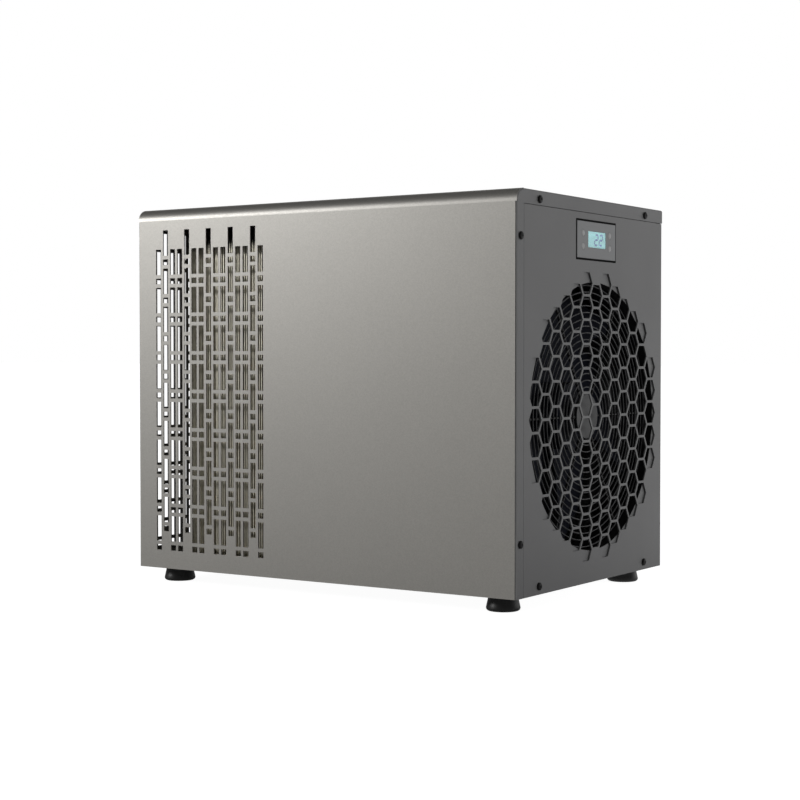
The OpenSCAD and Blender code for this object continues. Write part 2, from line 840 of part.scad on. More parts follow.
// A tapered rubber foot with a recess for its bolt's head
module rubber_foot(x, y) {
    color(black)
        translate([x, y, 0])
            difference() {
                rotate_extrude() {
                    translate([foot_r - foot_lip, foot_lip])
                        circle(foot_lip);
                    polygon([
                        [0, 0], [foot_r - foot_lip, 0], [foot_r - foot_lip, foot_lip],
                        [foot_r, foot_lip], [foot_top_r, foot_h], [0, foot_h]
                    ]);
                }
                translate([0, 0, -cut])
                    cylinder(r = foot_recess_r, h = foot_recess_h + cut);
                cylinder(r = foot_bolt_r + screw_fit, h = foot_h + cut);
            }
}

module foot_front_left() { rubber_foot(x_left + foot_in_x, y_front + foot_in_y); }
module foot_front_right() { rubber_foot(x_right - foot_in_x, y_front + foot_in_y); }
module foot_rear_left() { rubber_foot(x_left + foot_in_x, y_back - foot_in_y); }
module foot_rear_right() { rubber_foot(x_right - foot_in_x, y_back - foot_in_y); }

module foot_bolts() {
    color(zinc)
        for (p = foot_places())
            translate([p.x, p.y, foot_recess_h]) {
                translate([0, 0, -bolt_head_h])
                    cylinder(r = 2 * foot_bolt_r, h = bolt_head_h, $fn = 6);
                cylinder(r = foot_bolt_r, h = z_floor - foot_recess_h + foot_nut_h + 2);
            }
}

module foot_nuts() {
    color(zinc)
        for (p = foot_places())
            translate([p.x, p.y, z_floor])
                difference() {
                    cylinder(r = 2 * foot_bolt_r, h = foot_nut_h, $fn = 6);
                    translate([0, 0, -cut])
                        cylinder(r = foot_bolt_r + screw_fit, h = foot_nut_h + 2 * cut);
                }
}

module fan_end_screws() { color(black) end_screws(); }

module intake_end_screws() {
    color(black)
        mirror([1, 0, 0])
            end_screws();
}

module rear_screws() {
    color(black) {
        for (x = lip_screws) {
            on_rear(x, flange_screw_v, 0)
                pan_screw();
            on_rear(x, screw_low, sheet_t)
                pan_screw();
        }
        for (v = return_screws)
            for (x = [-x_return_screw, x_return_screw])
                on_rear(x, v, 0)
                    pan_screw();
    }
}

// The plate with the fan's mouth, its rim against the panel and its collar round the blades
module fan_shroud() {
    size = [shroud_w, shroud_h];
    color(paint) {
        end_sheet(x_right - shroud_set, sheet_t)
            translate([fan_u, fan_v])
                difference() {
                    square(size, center = true);
                    circle(mouth_r, $fn = 96);
                }
        end_sheet(x_right - sheet_t, shroud_gap)
            translate([fan_u, fan_v])
                difference() {
                    square(size, center = true);
                    square(size - 2 * [shroud_rim, shroud_rim], center = true);
                }
        on_fan_end(fan_u, fan_v, shroud_set + collar_l)
            linear_extrude(collar_l - sheet_t)
                difference() {
                    circle(mouth_r + sheet_t, $fn = 96);
                    circle(mouth_r, $fn = 96);
                }
    }
}

module guard_rings() {
    color(zinc)
        on_fan_end(fan_u, fan_v, guard_set + ring_wire_r)
            for (i = [1 : ring_count])
                rotate_extrude($fn = 96)
                    translate([disc_r + i * ring_pitch, 0])
                        circle(ring_wire_r, $fn = 16);
}

module guard_spider() {
    color(zinc) {
        on_fan_end(fan_u, fan_v, guard_set + disc_t)
            cylinder(r = disc_r, h = disc_t);
        on_fan_end(fan_u, fan_v, spoke_set)
            for (i = [0 : spoke_count - 1])
                rotate((i + 0.5) * 360 / spoke_count)
                    rotate([0, 90, 0])
                        translate([0, 0, disc_r / 2])
                            cylinder(r = spoke_r, h = mouth_r + weld - disc_r / 2);
    }
}

// A channel that stands on the tray and carries the motor on its back plate
module motor_bracket() {
    height = fan_v - sheet_t + bracket_top;
    color(zinc)
        difference() {
            translate([x_bracket, y_fan - bracket_w / 2, z_floor])
                union() {
                    cube([bracket_t, bracket_w, height]);
                    for (y = [0, bracket_w - bracket_t])
                        translate([-bracket_d, y, 0])
                            cube([bracket_d, bracket_t, height]);
                    translate([-bracket_foot, 0, 0])
                        cube([bracket_foot, bracket_w, bracket_t]);
                }
            on_fan_end(fan_u, fan_v, bracket_set + bracket_t + cut)
                cylinder(r = shaft_r * 3, h = bracket_t + 2 * cut);
        }
}

module fan_motor() {
    boss_r = 14;
    boss_l = 3;
    rib_count = 8;
    color(zinc)
        on_fan_end(fan_u, fan_v, bracket_set)
            difference() {
                union() {
                    cylinder(r = motor_r, h = motor_l * 0.4);
                    cylinder(r = motor_r - 4, h = motor_l - boss_l);
                    cylinder(r = boss_r, h = motor_l);
                    for (i = [0 : rib_count - 1])
                        rotate(i * 360 / rib_count)
                            translate([motor_r - 6, -1.5, 0])
                                cube([5, 3, motor_l - boss_l]);
                }
                translate([0, 0, motor_l - shaft_in_motor])
                    cylinder(r = shaft_r + shaft_fit, h = shaft_in_motor + cut);
            }
}

module motor_shaft() {
    tail = 0.5;
    length = motor_set + shaft_in_motor - tail - shaft_front;
    color(zinc)
        on_fan_end(fan_u, fan_v, shaft_front + length)
            cylinder(r = shaft_r, h = length);
}

// Outline of a sickle blade along the axis, with its root in the hub
module blade_2d() {
    lead_r = 0.605 * tip_r;
    lead = [0.084, 0.588] * tip_r;
    trail_r = 0.655 * tip_r;
    trail = [0.739, 0.252] * tip_r;
    difference() {
        intersection() {
            circle(tip_r, $fn = 96);
            translate(lead)
                circle(lead_r);
        }
        translate(trail)
            circle(trail_r);
        circle(hub_r - hub_wall / 2);
    }
}

// One cambered blade: its outline cut from a thin round shell
module blade() {
    intersection() {
        translate([0, 0, -hub_l])
            linear_extrude(2 * hub_l)
                blade_2d();
        translate([-camber_r * sin(blade_pitch), 0, camber_r * cos(blade_pitch)])
            rotate([-90, 0, 0])
                difference() {
                    cylinder(r = camber_r + blade_t / 2, h = mouth_r, $fn = 180);
                    cylinder(r = camber_r - blade_t / 2, h = mouth_r, $fn = 180);
                }
    }
}

module fan_rotor() {
    boss_r = 3 * shaft_r;
    color(black)
        on_fan_end(fan_u, fan_v, hub_set)
            difference() {
                union() {
                    translate([0, 0, -hub_l])
                        difference() {
                            cylinder(r = hub_r, h = hub_l);
                            translate([0, 0, -cut])
                                cylinder(r = hub_r - hub_wall, h = hub_l - hub_wall + cut);
                        }
                    translate([0, 0, -hub_l])
                        cylinder(r = boss_r, h = hub_l);
                    for (i = [0 : blade_count - 1])
                        rotate(i * 360 / blade_count)
                            translate([0, 0, -blade_set])
                                blade();
                }
                translate([0, 0, -hub_l - cut])
                    cylinder(r = shaft_r + shaft_fit, h = hub_l + 2 * cut);
            }
}

module fan_nut() {
    color(zinc)
        on_fan_end(fan_u, fan_v, hub_set)
            difference() {
                cylinder(r = fan_nut_d / 2, h = fan_nut_h, $fn = 6);
                translate([0, 0, -cut])
                    cylinder(r = shaft_r + shaft_fit, h = fan_nut_h + 2 * cut);
            }
}

function unit(v) = v / norm(v);
function turn(a, b) = acos(min(1, max(-1, a * b)));
function across(d) = unit(cross(d, abs(unit(d).z) > 0.9 ? [1, 0, 0] : [0, 0, 1]));
function axes(o, x, y, z) =
    [[x.x, y.x, z.x, o.x], [x.y, y.y, z.y, o.y], [x.z, y.z, z.z, o.z], [0, 0, 0, 1]];

// A round rod from a to b
module rod(a, b, r) {
    z = unit(b - a);
    x = across(z);
    multmatrix(axes(a, x, cross(z, x), z))
        cylinder(r = r, h = norm(b - a), $fn = 24);
}

// A round elbow at p, from direction a to direction b
module elbow(p, a, b, bend, r) {
    angle = turn(a, b);
    inward = unit(b - a * (a * b));
    middle = p - a * bend * tan(angle / 2) + inward * bend;
    multmatrix(axes(middle, -inward, a, cross(-inward, a)))
        rotate_extrude(angle = angle, $fn = 48)
            translate([bend, 0])
                circle(r, $fn = 24);
}

// A pipe along a path of corners, each rounded to the same bend
module pipe(path, r, bend) {
    last = len(path) - 1;
    way = [for (i = [0 : last - 1]) unit(path[i + 1] - path[i])];
    inset = [for (i = [0 : last]) i == 0 || i == last ? 0 : bend * tan(turn(way[i - 1], way[i]) / 2)];
    for (i = [0 : last - 1])
        rod(path[i] + way[i] * inset[i], path[i + 1] - way[i] * inset[i + 1], r);
    for (i = [1 : last - 1])
        elbow(path[i], way[i - 1], way[i], bend, r);
}

// One fin or end plate of the coil, in depth and height, with a hole for each tube
module fin_2d(hole_r, border) {
    difference() {
        translate([-border, 0])
            square([coil_d + 2 * border, coil_h]);
        for (i = [0 : tube_count - 1])
            translate([coil_d / 2, tube_first + i * tube_pitch])
                circle(hole_r, $fn = 24);
    }
}

// Thin plates along the front leg, round the corner and along the intake leg
module evaporator_fins() {
    hole_r = tube_r - fin_grip;
    corner = [x_left + coil_gap + coil_r, y_front + coil_gap + coil_r];
    color(fin_metal) {
        for (x = [corner.x + fin_pitch : fin_pitch : corner.x + front_leg - fin_pitch / 2])
            translate([x, y_front + coil_gap, z_floor])
                rotate([90, 0, 90])
                    linear_extrude(fin_t)
                        fin_2d(hole_r, 0);
        for (i = [0 : bend_fins])
            translate([corner.x, corner.y, z_floor])
                rotate([0, 0, 180 + 90 * i / bend_fins])
                    translate([coil_r - coil_d, fin_t / 2, 0])
                        rotate([90, 0, 0])
                            linear_extrude(fin_t)
                                fin_2d(hole_r, 0);
        for (y = [corner.y + fin_pitch : fin_pitch : corner.y + rear_leg - fin_pitch / 2])
            translate([x_left + coil_gap, y + fin_t, z_floor])
                rotate([90, 0, 0])
                    linear_extrude(fin_t)
                        fin_2d(hole_r, 0);
    }
}

module evaporator_tubes() {
    color(copper)
        for (i = [0 : tube_count - 1]) {
            z = z_tube_low + i * tube_pitch;
            outer = i == 0 || i == tube_count - 1;
            x_end = outer ? x_stub : x_left + coil_end + plate_t + tube_out;
            pipe([
                [x_end, y_tube, z],
                [x_left + coil_mid, y_tube, z],
                [x_left + coil_mid, y_front + coil_rear + plate_t + tube_out, z]
            ], tube_r, coil_bend);
        }
}

// Half rings that join the tubes in pairs at both ends of the coil
module return_bends() {
    color(copper) {
        for (i = [1 : 2 : tube_count - 3])
            translate([x_left + coil_end + plate_t + tube_out, y_tube, z_tube_low + (i + 0.5) * tube_pitch])
                rotate([90, 0, 0])
                    rotate([0, 0, -90])
                        half_ring();
        for (i = [0 : 2 : tube_count - 2])
            translate([
                x_left + coil_mid, y_front + coil_rear + plate_t + tube_out,
                z_tube_low + (i + 0.5) * tube_pitch
            ])
                rotate([0, -90, 0])
                    half_ring();
    }
}

module half_ring() {
    rotate_extrude(angle = 180, $fn = 48)
        translate([tube_pitch / 2, 0])
            circle(tube_r, $fn = 24);
}

module coil_front_plate() {
    color(zinc)
        translate([x_left + coil_end, y_front + coil_gap, z_floor])
            rotate([90, 0, 90])
                linear_extrude(plate_t)
                    fin_2d(tube_r + fit_gap, 3);
}

module coil_rear_plate() {
    color(zinc)
        translate([x_left + coil_gap, y_front + coil_rear + plate_t, z_floor])
            rotate([90, 0, 0])
                linear_extrude(plate_t)
                    fin_2d(tube_r + fit_gap, 3);
}

// A domed shell on a three-armed base, with its suction stub and its discharge
module compressor() {
    base_t = 3;
    neck = compressor_h - compressor_dome;
    color(black)
        translate([x_compressor, y_compressor, z_floor + grommet_h]) {
            linear_extrude(base_t)
                difference() {
                    union() {
                        circle(compressor_r - 8);
                        for (a = stud_angles)
                            rotate(a) {
                                translate([0, -grommet_r])
                                    square([mount_ring, 2 * grommet_r]);
                                translate([mount_ring, 0])
                                    circle(grommet_r);
                            }
                    }
                    for (a = stud_angles)
                        rotate(a)
                            translate([mount_ring, 0])
                                circle(stud_r + screw_fit);
                }
            translate([0, 0, base_t])
                rotate_extrude()
                    union() {
                        translate([0, 4])
                            square([compressor_r, neck - 4]);
                        square([compressor_r - 4, neck]);
                        translate([0, neck - compressor_dome])
                            intersection() {
                                square([compressor_r, 2 * compressor_dome]);
                                translate([0, -dome_drop()])
                                    circle(dome_drop() + 2 * compressor_dome);
                            }
                    }
        }
    color(black)
        translate([x_cover, y_compressor, z_shell + neck])
            cylinder(r = cover_r - cover_wall - fit_gap, h = compressor_dome + cover_h - cover_wall);
    color(copper) {
        rod([x_discharge, y_compressor, z_shell + neck - 4],
            [x_discharge, y_compressor, z_shell + compressor_h + stub_h], pipe_r);
        rod([x_compressor - compressor_r + 2, y_compressor, z_suction],
            [x_compressor - compressor_r - stub_h, y_compressor, z_suction], pipe_r);
    }
}

// Drop of the dome's middle that makes its cap as wide as the shell
function dome_drop() =
    (compressor_r * compressor_r - 3 * compressor_dome * compressor_dome) / (2 * compressor_dome);

// A cap over the terminals, which sits on the compressor's terminal boss
module compressor_cover() {
    color(black)
        translate([x_cover, y_compressor, z_shell + compressor_h])
            difference() {
                cylinder(r = cover_r, h = cover_h);
                translate([0, 0, -cut])
                    cylinder(r = cover_r - cover_wall, h = cover_h - cover_wall + cut);
            }
}

module compressor_grommets() {
    color(black)
        for (p = stud_places())
            translate([p.x, p.y, z_floor])
                difference() {
                    cylinder(r = grommet_r, h = grommet_h);
                    translate([0, 0, -cut])
                        cylinder(r = stud_r + screw_fit, h = grommet_h + 2 * cut);
                }
}

// Shouldered studs through the grommets, with hexagonal heads
module compressor_nuts() {
    color(zinc)
        for (p = stud_places())
            translate([p.x, p.y, z_floor]) {
                cylinder(r = stud_r, h = grommet_h + 4);
                translate([0, 0, grommet_h + 3])
                    cylinder(r = 2 * stud_r, h = stud_head_h, $fn = 6);
            }
}

module accumulator() {
    dome = 10;
    color(black)
        translate([x_accumulator, y_compressor, z_accumulator])
            rotate_extrude()
                polygon([
                    [0, 0], [pipe_r + 4, 0], [accumulator_r, dome], [accumulator_r, accumulator_h - dome],
                    [pipe_r + 4, accumulator_h], [0, accumulator_h]
                ]);
}

module accumulator_elbow() {
    color(copper)
        pipe([
            [x_accumulator, y_compressor, z_accumulator],
            [x_accumulator, y_compressor, z_suction],
            [x_compressor - compressor_r - stub_h, y_compressor, z_suction]
        ], pipe_r, pipe_bend);
}

// A closed upright vessel on a base ring, with two water ports to the rear and two gas stubs
module exchanger() {
    color(plastic) {
        difference() {
            union() {
                translate([x_exchanger, y_exchanger, z_floor]) {
                    cylinder(r = exchanger_r - 6, h = exchanger_foot);
                    translate([0, 0, exchanger_foot])
                        cylinder(r = exchanger_r, h = exchanger_h);
                    translate([0, 0, exchanger_foot])
                        cylinder(r = exchanger_cap_r, h = cap_h);
                    translate([0, 0, exchanger_foot + exchanger_h - cap_h])
                        cylinder(r = exchanger_cap_r, h = cap_h);
                }
                for (v = [inlet_v, outlet_v])
                    rod([x_exchanger, y_exchanger, z_base + v],
                        [x_exchanger, y_shank_end, z_base + v], shank_r);
            }
            for (v = [inlet_v, outlet_v])
                rod([x_exchanger, y_exchanger, z_base + v],
                    [x_exchanger, y_shank_end + cut, z_base + v], water_r);
        }
    }
    color(copper) {
        rod([x_gas, y_exchanger, z_exchanger + exchanger_h - cut],
            [x_gas, y_exchanger, z_exchanger + exchanger_h + stub_h], pipe_r);
        rod([x_exchanger - exchanger_r + 2, y_exchanger, z_liquid],
            [x_liquid, y_exchanger, z_liquid], pipe_r);
    }
}

module discharge_pipe() {
    color(copper)
        pipe([
            [x_discharge, y_compressor, z_shell + compressor_h + stub_h],
            [x_discharge, y_compressor, z_over],
            [x_discharge, y_exchanger, z_over],
            [x_gas, y_exchanger, z_over],
            [x_gas, y_exchanger, z_exchanger + exchanger_h + stub_h]
        ], pipe_r, pipe_bend);
}

// From the coil's top tube down into the accumulator
module suction_pipe() {
    x_turn = x_stub + pipe_bend + 4;
    y_turn = y_tube + coil_d / 2 + pipe_bend + 14;
    color(copper)
        pipe([
            [x_stub, y_tube, z_tube_high],
            [x_turn, y_tube, z_tube_high],
            [x_turn, y_turn, z_tube_high],
            [x_accumulator, y_turn, z_tube_high],
            [x_accumulator, y_compressor, z_tube_high],
            [x_accumulator, y_compressor, z_accumulator + accumulator_h]
        ], pipe_r, pipe_bend);
}

y_drier = y_exchanger - pipe_bend - 10;

module liquid_pipe() {
    color(copper)
        pipe([
            [x_liquid, y_exchanger, z_liquid],
            [x_drier, y_exchanger, z_liquid],
            [x_drier, y_drier, z_liquid]
        ], pipe_r, pipe_bend);
}

module filter_drier() {
    shoulder = 8;
    color(copper)
        translate([x_drier, y_drier, z_liquid])
            rotate([90, 0, 0])
                rotate_extrude()
                    polygon([
                        [0, 0], [pipe_r + 1, 0], [drier_r, shoulder], [drier_r, drier_l - shoulder],
                        [pipe_r + 1, drier_l], [0, drier_l]
                    ]);
}

// From the drier, behind the coil's front leg, round its end into the lowest tube
module feed_pipe() {
    y_pass = y_tube + coil_d / 2 + pipe_r + 4.5;
    x_turn = x_stub + pipe_bend + 3;
    color(copper)
        pipe([
            [x_drier, y_drier - drier_l, z_liquid],
            [x_drier, y_pass, z_liquid],
            [x_turn, y_pass, z_liquid],
            [x_turn, y_pass, z_tube_low],
            [x_turn, y_tube, z_tube_low],
            [x_stub, y_tube, z_tube_low]
        ], pipe_r, feed_bend);
}

// A hose tail with a collar outside the rear panel and a shank through it
module water_port(v) {
    lead = 2;
    color(black)
        on_rear(x_exchanger, v, sheet_t)
            difference() {
                union() {
                    translate([0, 0, -sheet_t - shank_l])
                        cylinder(r = shank_r, h = sheet_t + shank_l + seal_t);
                    translate([0, 0, seal_t])
                        cylinder(r = port_collar_r, h = port_collar_t);
                    translate([0, 0, seal_t + port_collar_t - cut])
                        cylinder(r = tail_r, h = tail_l - lead + cut);
                    translate([0, 0, seal_t + port_collar_t + tail_l - lead])
                        cylinder(r1 = tail_r, r2 = tail_r - lead, h = lead);
                }
                translate([0, 0, -sheet_t - shank_l - cut])
                    cylinder(r = water_r, h = shank_l + rear_reach + 2 * sheet_t + 2 * cut);
            }
}

module water_inlet() { water_port(inlet_v); }
module water_outlet() { water_port(outlet_v); }

module port_seals() {
    color(black)
        for (v = [inlet_v, outlet_v])
            on_rear(x_exchanger, v, sheet_t)
                linear_extrude(seal_t)
                    difference() {
                        circle(port_collar_r - 1);
                        circle(shank_r + fit_gap);
                    }
}

module bulkhead_nuts() {
    color(black)
        for (v = [inlet_v, outlet_v])
            on_rear(x_exchanger, v, 2 * sheet_t + bulkhead_t)
                linear_extrude(bulkhead_t)
                    difference() {
                        circle(bulkhead_d / 2, $fn = 6);
                        circle(shank_r + fit_gap);
                    }
}

gland_nut_t = 5;

// A hexagonal flange and a round cap outside the rear panel, with a threaded shank through it
module gland_body() {
    flange_t = 5;
    cap_r = gland_r + 2;
    inside = sheet_t + gland_nut_t + 3;
    color(black)
        on_rear(x_right - gland_in, gland_v, sheet_t)
            difference() {
                union() {
                    cylinder(r = gland_d / 2, h = flange_t, $fn = 6);
                    translate([0, 0, -inside])
                        cylinder(r = gland_r, h = inside + flange_t);
                    cylinder(r = cap_r, h = gland_l - 3);
                    translate([0, 0, gland_l - 3])
                        cylinder(r1 = cap_r, r2 = cap_r - 3, h = 3);
                }
                translate([0, 0, -inside - cut])
                    cylinder(r = cable_r, h = inside + gland_l + 2 * cut);
            }
}

module gland_nut() {
    color(black)
        on_rear(x_right - gland_in, gland_v, 2 * sheet_t + gland_nut_t)
            linear_extrude(gland_nut_t)
                difference() {
                    circle(gland_d / 2, $fn = 6);
                    circle(gland_r + fit_gap);
                }
}

// A drain spout: its flange is bonded under the tray and its neck ends level with the tray's floor
module condensate_nipple() {
    low = -nipple_rim_t - nipple_l;
    color(black)
        translate([x_nipple, y_nipple, z_base])
            difference() {
                union() {
                    translate([0, 0, low])
                        cylinder(r = nipple_r, h = nipple_l + nipple_rim_t / 2);
                    translate([0, 0, -nipple_rim_t])
                        cylinder(r = nipple_r + nipple_rim, h = nipple_rim_t);
                    translate([0, 0, -nipple_rim_t / 2])
                        cylinder(r = nipple_neck_r, h = nipple_rim_t / 2 + sheet_t);
                }
                translate([0, 0, low - cut])
                    cylinder(r = nipple_r - nipple_wall, h = sheet_t - low + 2 * cut);
            }
}

// A sheet box on the rear panel, open to the front, with a lid that laps its walls
module control_box() {
    color(zinc)
        difference() {
            translate([x_box, y_box, z_box])
                cube([box_w, box_d, box_h]);
            translate([x_box + sheet_t, y_box - cut, z_box + sheet_t])
                cube([box_w - 2 * sheet_t, box_d - sheet_t + cut, box_h - 2 * sheet_t]);
        }
}

module control_box_lid() {
    lip = 8;
    edge = sheet_t + fit_gap;
    color(zinc)
        difference() {
            translate([x_box - edge, y_box - sheet_t, z_box - edge])
                cube([box_w + 2 * edge, sheet_t + lip, box_h + 2 * edge]);
            translate([x_box - fit_gap, y_box, z_box - fit_gap])
                cube([box_w + 2 * fit_gap, lip + cut, box_h + 2 * fit_gap]);
        }
}

module run_capacitor() {
    color(zinc)
        translate([x_box + sheet_t + capacitor_r + 6, y_box + box_d / 2, z_box + sheet_t]) {
            cylinder(r = capacitor_r, h = capacitor_h);
            for (y = [-6, 6])
                translate([-1, y - 3, capacitor_h - cut])
                    cube([2, 6, 8]);
        }
}

module terminal_block() {
    ways = 4;
    x_block = x_box + box_w - 4 * sheet_t - block_w;
    y_block = y_box + box_d - sheet_t - block_d;
    color(black)
        translate([x_block, y_block, z_box + block_up])
            difference() {
                cube([block_w, block_d, block_h]);
                for (i = [0 : ways - 1])
                    translate([(i + 0.5) * block_w / ways, -cut, block_h / 2])
                        rotate([-90, 0, 0])
                            cylinder(r = well_r, h = well_h + cut);
            }
}

// A plain plate of the controller, from a depth behind the panel's face inwards
module ctl_plate(w, h, depth, t, off = 0) {
    end_sheet(x_right - depth, t)
        translate([ctl_u + off, ctl_v + off])
            square([w, h], center = true);
}

module controller_gasket() {
    edge_set = 0.3;
    color(black)
        difference() {
            union() {
                ctl_plate(ctl_w - 2 * fit_gap, ctl_h - 2 * fit_gap, edge_set, sheet_t);
                ctl_plate(ctl_w + 2 * gasket_lip, ctl_h + 2 * gasket_lip, sheet_t, gasket_t);
            }
            ctl_plate(face_w + 2 * fit_gap, face_h + 2 * fit_gap, -cut, gasket_back + 2 * cut);
        }
}

// Places of the four keys, as [u, v]
function key_place(i) =
    [ctl_u + (i < 2 ? -1 : 1) * key_span_u / 2, ctl_v + (i % 2 == 0 ? 1 : -1) * key_span_v / 2];

module controller_housing() {
    pocket = face_set + window_t + display_t + cut;
    color(paint)
        difference() {
            union() {
                ctl_plate(face_w, face_h, face_set, gasket_back - face_set + cut);
                ctl_plate(ctl_w + 2 * gasket_lip, ctl_h + 2 * gasket_lip, gasket_back, housing_flange);
                ctl_plate(face_w - 4, face_h - 4, gasket_back, housing_l);
            }
            ctl_plate(window_w + 2 * fit_gap, window_h + 2 * fit_gap, -cut, pocket, window_off);
            for (i = [0 : 3]) {
                on_fan_end(key_place(i).x, key_place(i).y, face_set + key_wall + cut)
                    cylinder(r = key_r + key_fit, h = key_wall + 2 * cut);
                on_fan_end(key_place(i).x, key_place(i).y, face_set + key_wall + key_room)
                    cylinder(r = key_r + 3 * key_fit + 1, h = key_room);
            }
        }
}

module display_window() {
    color([0.75, 0.9, 0.9])
        ctl_plate(window_w, window_h, face_set, window_t, window_off);
}

module display() {
    color([0.45, 0.75, 0.78])
        ctl_plate(window_w, window_h, face_set + window_t, display_t, window_off);
}

// A round key with a collar behind the controller's face
module key(i) {
    color(paint)
        on_fan_end(key_place(i).x, key_place(i).y, face_set + key_wall + key_fit) {
            cylinder(r = key_r, h = key_wall + key_fit + key_proud);
            translate([0, 0, -key_collar])
                cylinder(r = key_r + 1, h = key_collar);
        }
}

module key_power() { key(0); }
module key_mode() { key(1); }
module key_up() { key(2); }
module key_down() { key(3); }

hood();
front_fascia();
fan_panel();
intake_panel();
rear_panel();
base_tray();
foot_front_left();
foot_front_right();
foot_rear_left();
foot_rear_right();
foot_bolts();
foot_nuts();
fan_end_screws();
intake_end_screws();
rear_screws();
fan_shroud();
guard_rings();
guard_spider();
motor_bracket();
fan_motor();
motor_shaft();
fan_rotor();
fan_nut();
evaporator_fins();
evaporator_tubes();
return_bends();
coil_front_plate();
coil_rear_plate();
compressor();
compressor_cover();
compressor_grommets();
compressor_nuts();
accumulator();
accumulator_elbow();
exchanger();
discharge_pipe();
suction_pipe();
liquid_pipe();
filter_drier();
feed_pipe();
water_inlet();
water_outlet();
port_seals();
bulkhead_nuts();
gland_body();
gland_nut();
condensate_nipple();
control_box();
control_box_lid();
run_capacitor();
terminal_block();
controller_gasket();
controller_housing();
display_window();
display();
key_power();
key_mode();
key_up();
key_down();
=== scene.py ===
import json
import math

import bmesh
import bpy
from mathutils import Matrix, Vector


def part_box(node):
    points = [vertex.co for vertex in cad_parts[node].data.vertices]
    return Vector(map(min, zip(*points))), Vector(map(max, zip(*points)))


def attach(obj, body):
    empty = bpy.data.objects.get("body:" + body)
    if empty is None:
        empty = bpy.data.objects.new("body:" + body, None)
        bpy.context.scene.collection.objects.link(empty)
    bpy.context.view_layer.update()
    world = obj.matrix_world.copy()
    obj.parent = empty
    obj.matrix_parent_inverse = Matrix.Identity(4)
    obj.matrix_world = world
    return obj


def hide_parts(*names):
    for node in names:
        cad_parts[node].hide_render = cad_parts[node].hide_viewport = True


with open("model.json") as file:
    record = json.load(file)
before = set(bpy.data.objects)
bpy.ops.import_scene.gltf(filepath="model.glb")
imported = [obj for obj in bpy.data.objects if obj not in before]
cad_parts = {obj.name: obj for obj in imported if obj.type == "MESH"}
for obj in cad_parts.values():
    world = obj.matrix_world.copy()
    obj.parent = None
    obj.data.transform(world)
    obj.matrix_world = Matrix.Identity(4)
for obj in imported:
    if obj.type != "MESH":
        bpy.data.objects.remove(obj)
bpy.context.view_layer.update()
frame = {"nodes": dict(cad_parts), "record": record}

scene = bpy.context.scene
MM = 0.001
FULL_TURN = 2 * math.pi
QUARTER = math.pi / 2

# The three ways in which a shape drawn along +Z is turned to point out of the cabinet
TO_FAN_END = Matrix.Rotation(QUARTER, 4, "Y")
TO_INTAKE_END = Matrix.Rotation(-QUARTER, 4, "Y")
TO_REAR = Matrix.Rotation(-QUARTER, 4, "X")

# Points of a shape, and of a CAD node, that are closer than this are one point
SEAM = 1e-7
CAD_SEAM = 1e-6

# Height of a screw's head; gap between the display and its window; rim of the display and step down
# from it to the lit field; all in mm
SCREW_HEAD_H = 2.3
DISPLAY_GAP = 0.15
DISPLAY_RIM = 0.7
DISPLAY_STEP = 0.25

WHITE = (1, 1, 1, 1)
MID_GREY = (0.5, 0.5, 0.5, 1)


# Shader nodes

def add(tree, kind, inputs=None, **settings):
    """Adds a shader node, sets its inputs to values or links them to sockets, and returns it."""
    node = tree.nodes.new("ShaderNode" + kind)
    for name, value in settings.items():
        setattr(node, name, value)
    for key, value in (inputs or {}).items():
        if isinstance(value, bpy.types.NodeSocket):
            tree.links.new(value, node.inputs[key])
        else:
            node.inputs[key].default_value = value
    return node


def math_node(tree, operation, first, second):
    """One arithmetic step between two sockets or numbers; returns its result."""
    return add(tree, "Math", {0: first, 1: second}, operation=operation).outputs[0]


def mixed(tree, mask, first, second):
    """The first colour where a mask is 0, and the second where it is 1."""
    return add(tree, "MixRGB", {"Fac": mask, "Color1": first, "Color2": second}).outputs["Color"]


def faded(tree, value, start, end, low=0.0, high=1.0):
    """Runs from low to high while a value runs from start to end."""
    node = add(tree, "MapRange", {"Value": value, "From Min": start, "From Max": end,
                                  "To Min": low, "To Max": high})
    return node.outputs["Result"]


def ranged(tree, value, low, high):
    """Spreads a noise, which runs from about 0.25 to 0.75, over a low and a high end."""
    return faded(tree, value, 0.25, 0.75, low, high)


def noise(tree, size, detail, roughness=0.5):
    """Noise in object space whose features are about as large as the size, in metres."""
    place = add(tree, "TexCoord").outputs["Object"]
    scale = math_node(tree, "DIVIDE", 1.0, size)
    node = add(tree, "TexNoise", {"Vector": place, "Scale": scale, "Detail": detail,
                                  "Roughness": roughness})
    return node.outputs["Fac"]


def object_place(tree):
    """The point on the object, as the sockets X, Y and Z."""
    return add(tree, "SeparateXYZ", {"Vector": add(tree, "TexCoord").outputs["Object"]}).outputs


# Effects that several finishes share

def effect(name, inputs, outputs):
    """Starts a node group with named sockets; returns its tree, its inputs and its output node."""
    tree = bpy.data.node_groups.new(name, "ShaderNodeTree")
    for label, kind, value in inputs:
        socket = tree.interface.new_socket(label, in_out="INPUT", socket_type="NodeSocket" + kind)
        socket.default_value = value
    for label, kind in outputs:
        tree.interface.new_socket(label, in_out="OUTPUT", socket_type="NodeSocket" + kind)
    return tree, tree.nodes.new("NodeGroupInput").outputs, tree.nodes.new("NodeGroupOutput")


def make_grain():
    """Fine grain of a coat or a moulding, and the slow patches in its tone."""
    tree, given, result = effect(
        "coat_grain",
        [("Grain size", "Float", 0.8 * MM), ("Patch size", "Float", 80 * MM)],
        [("Grain", "Float"), ("Patches", "Float")])
    tree.links.new(noise(tree, given["Grain size"], 3.0, 0.6), result.inputs["Grain"])
    tree.links.new(noise(tree, given["Patch size"], 2.0), result.inputs["Patches"])
    return tree


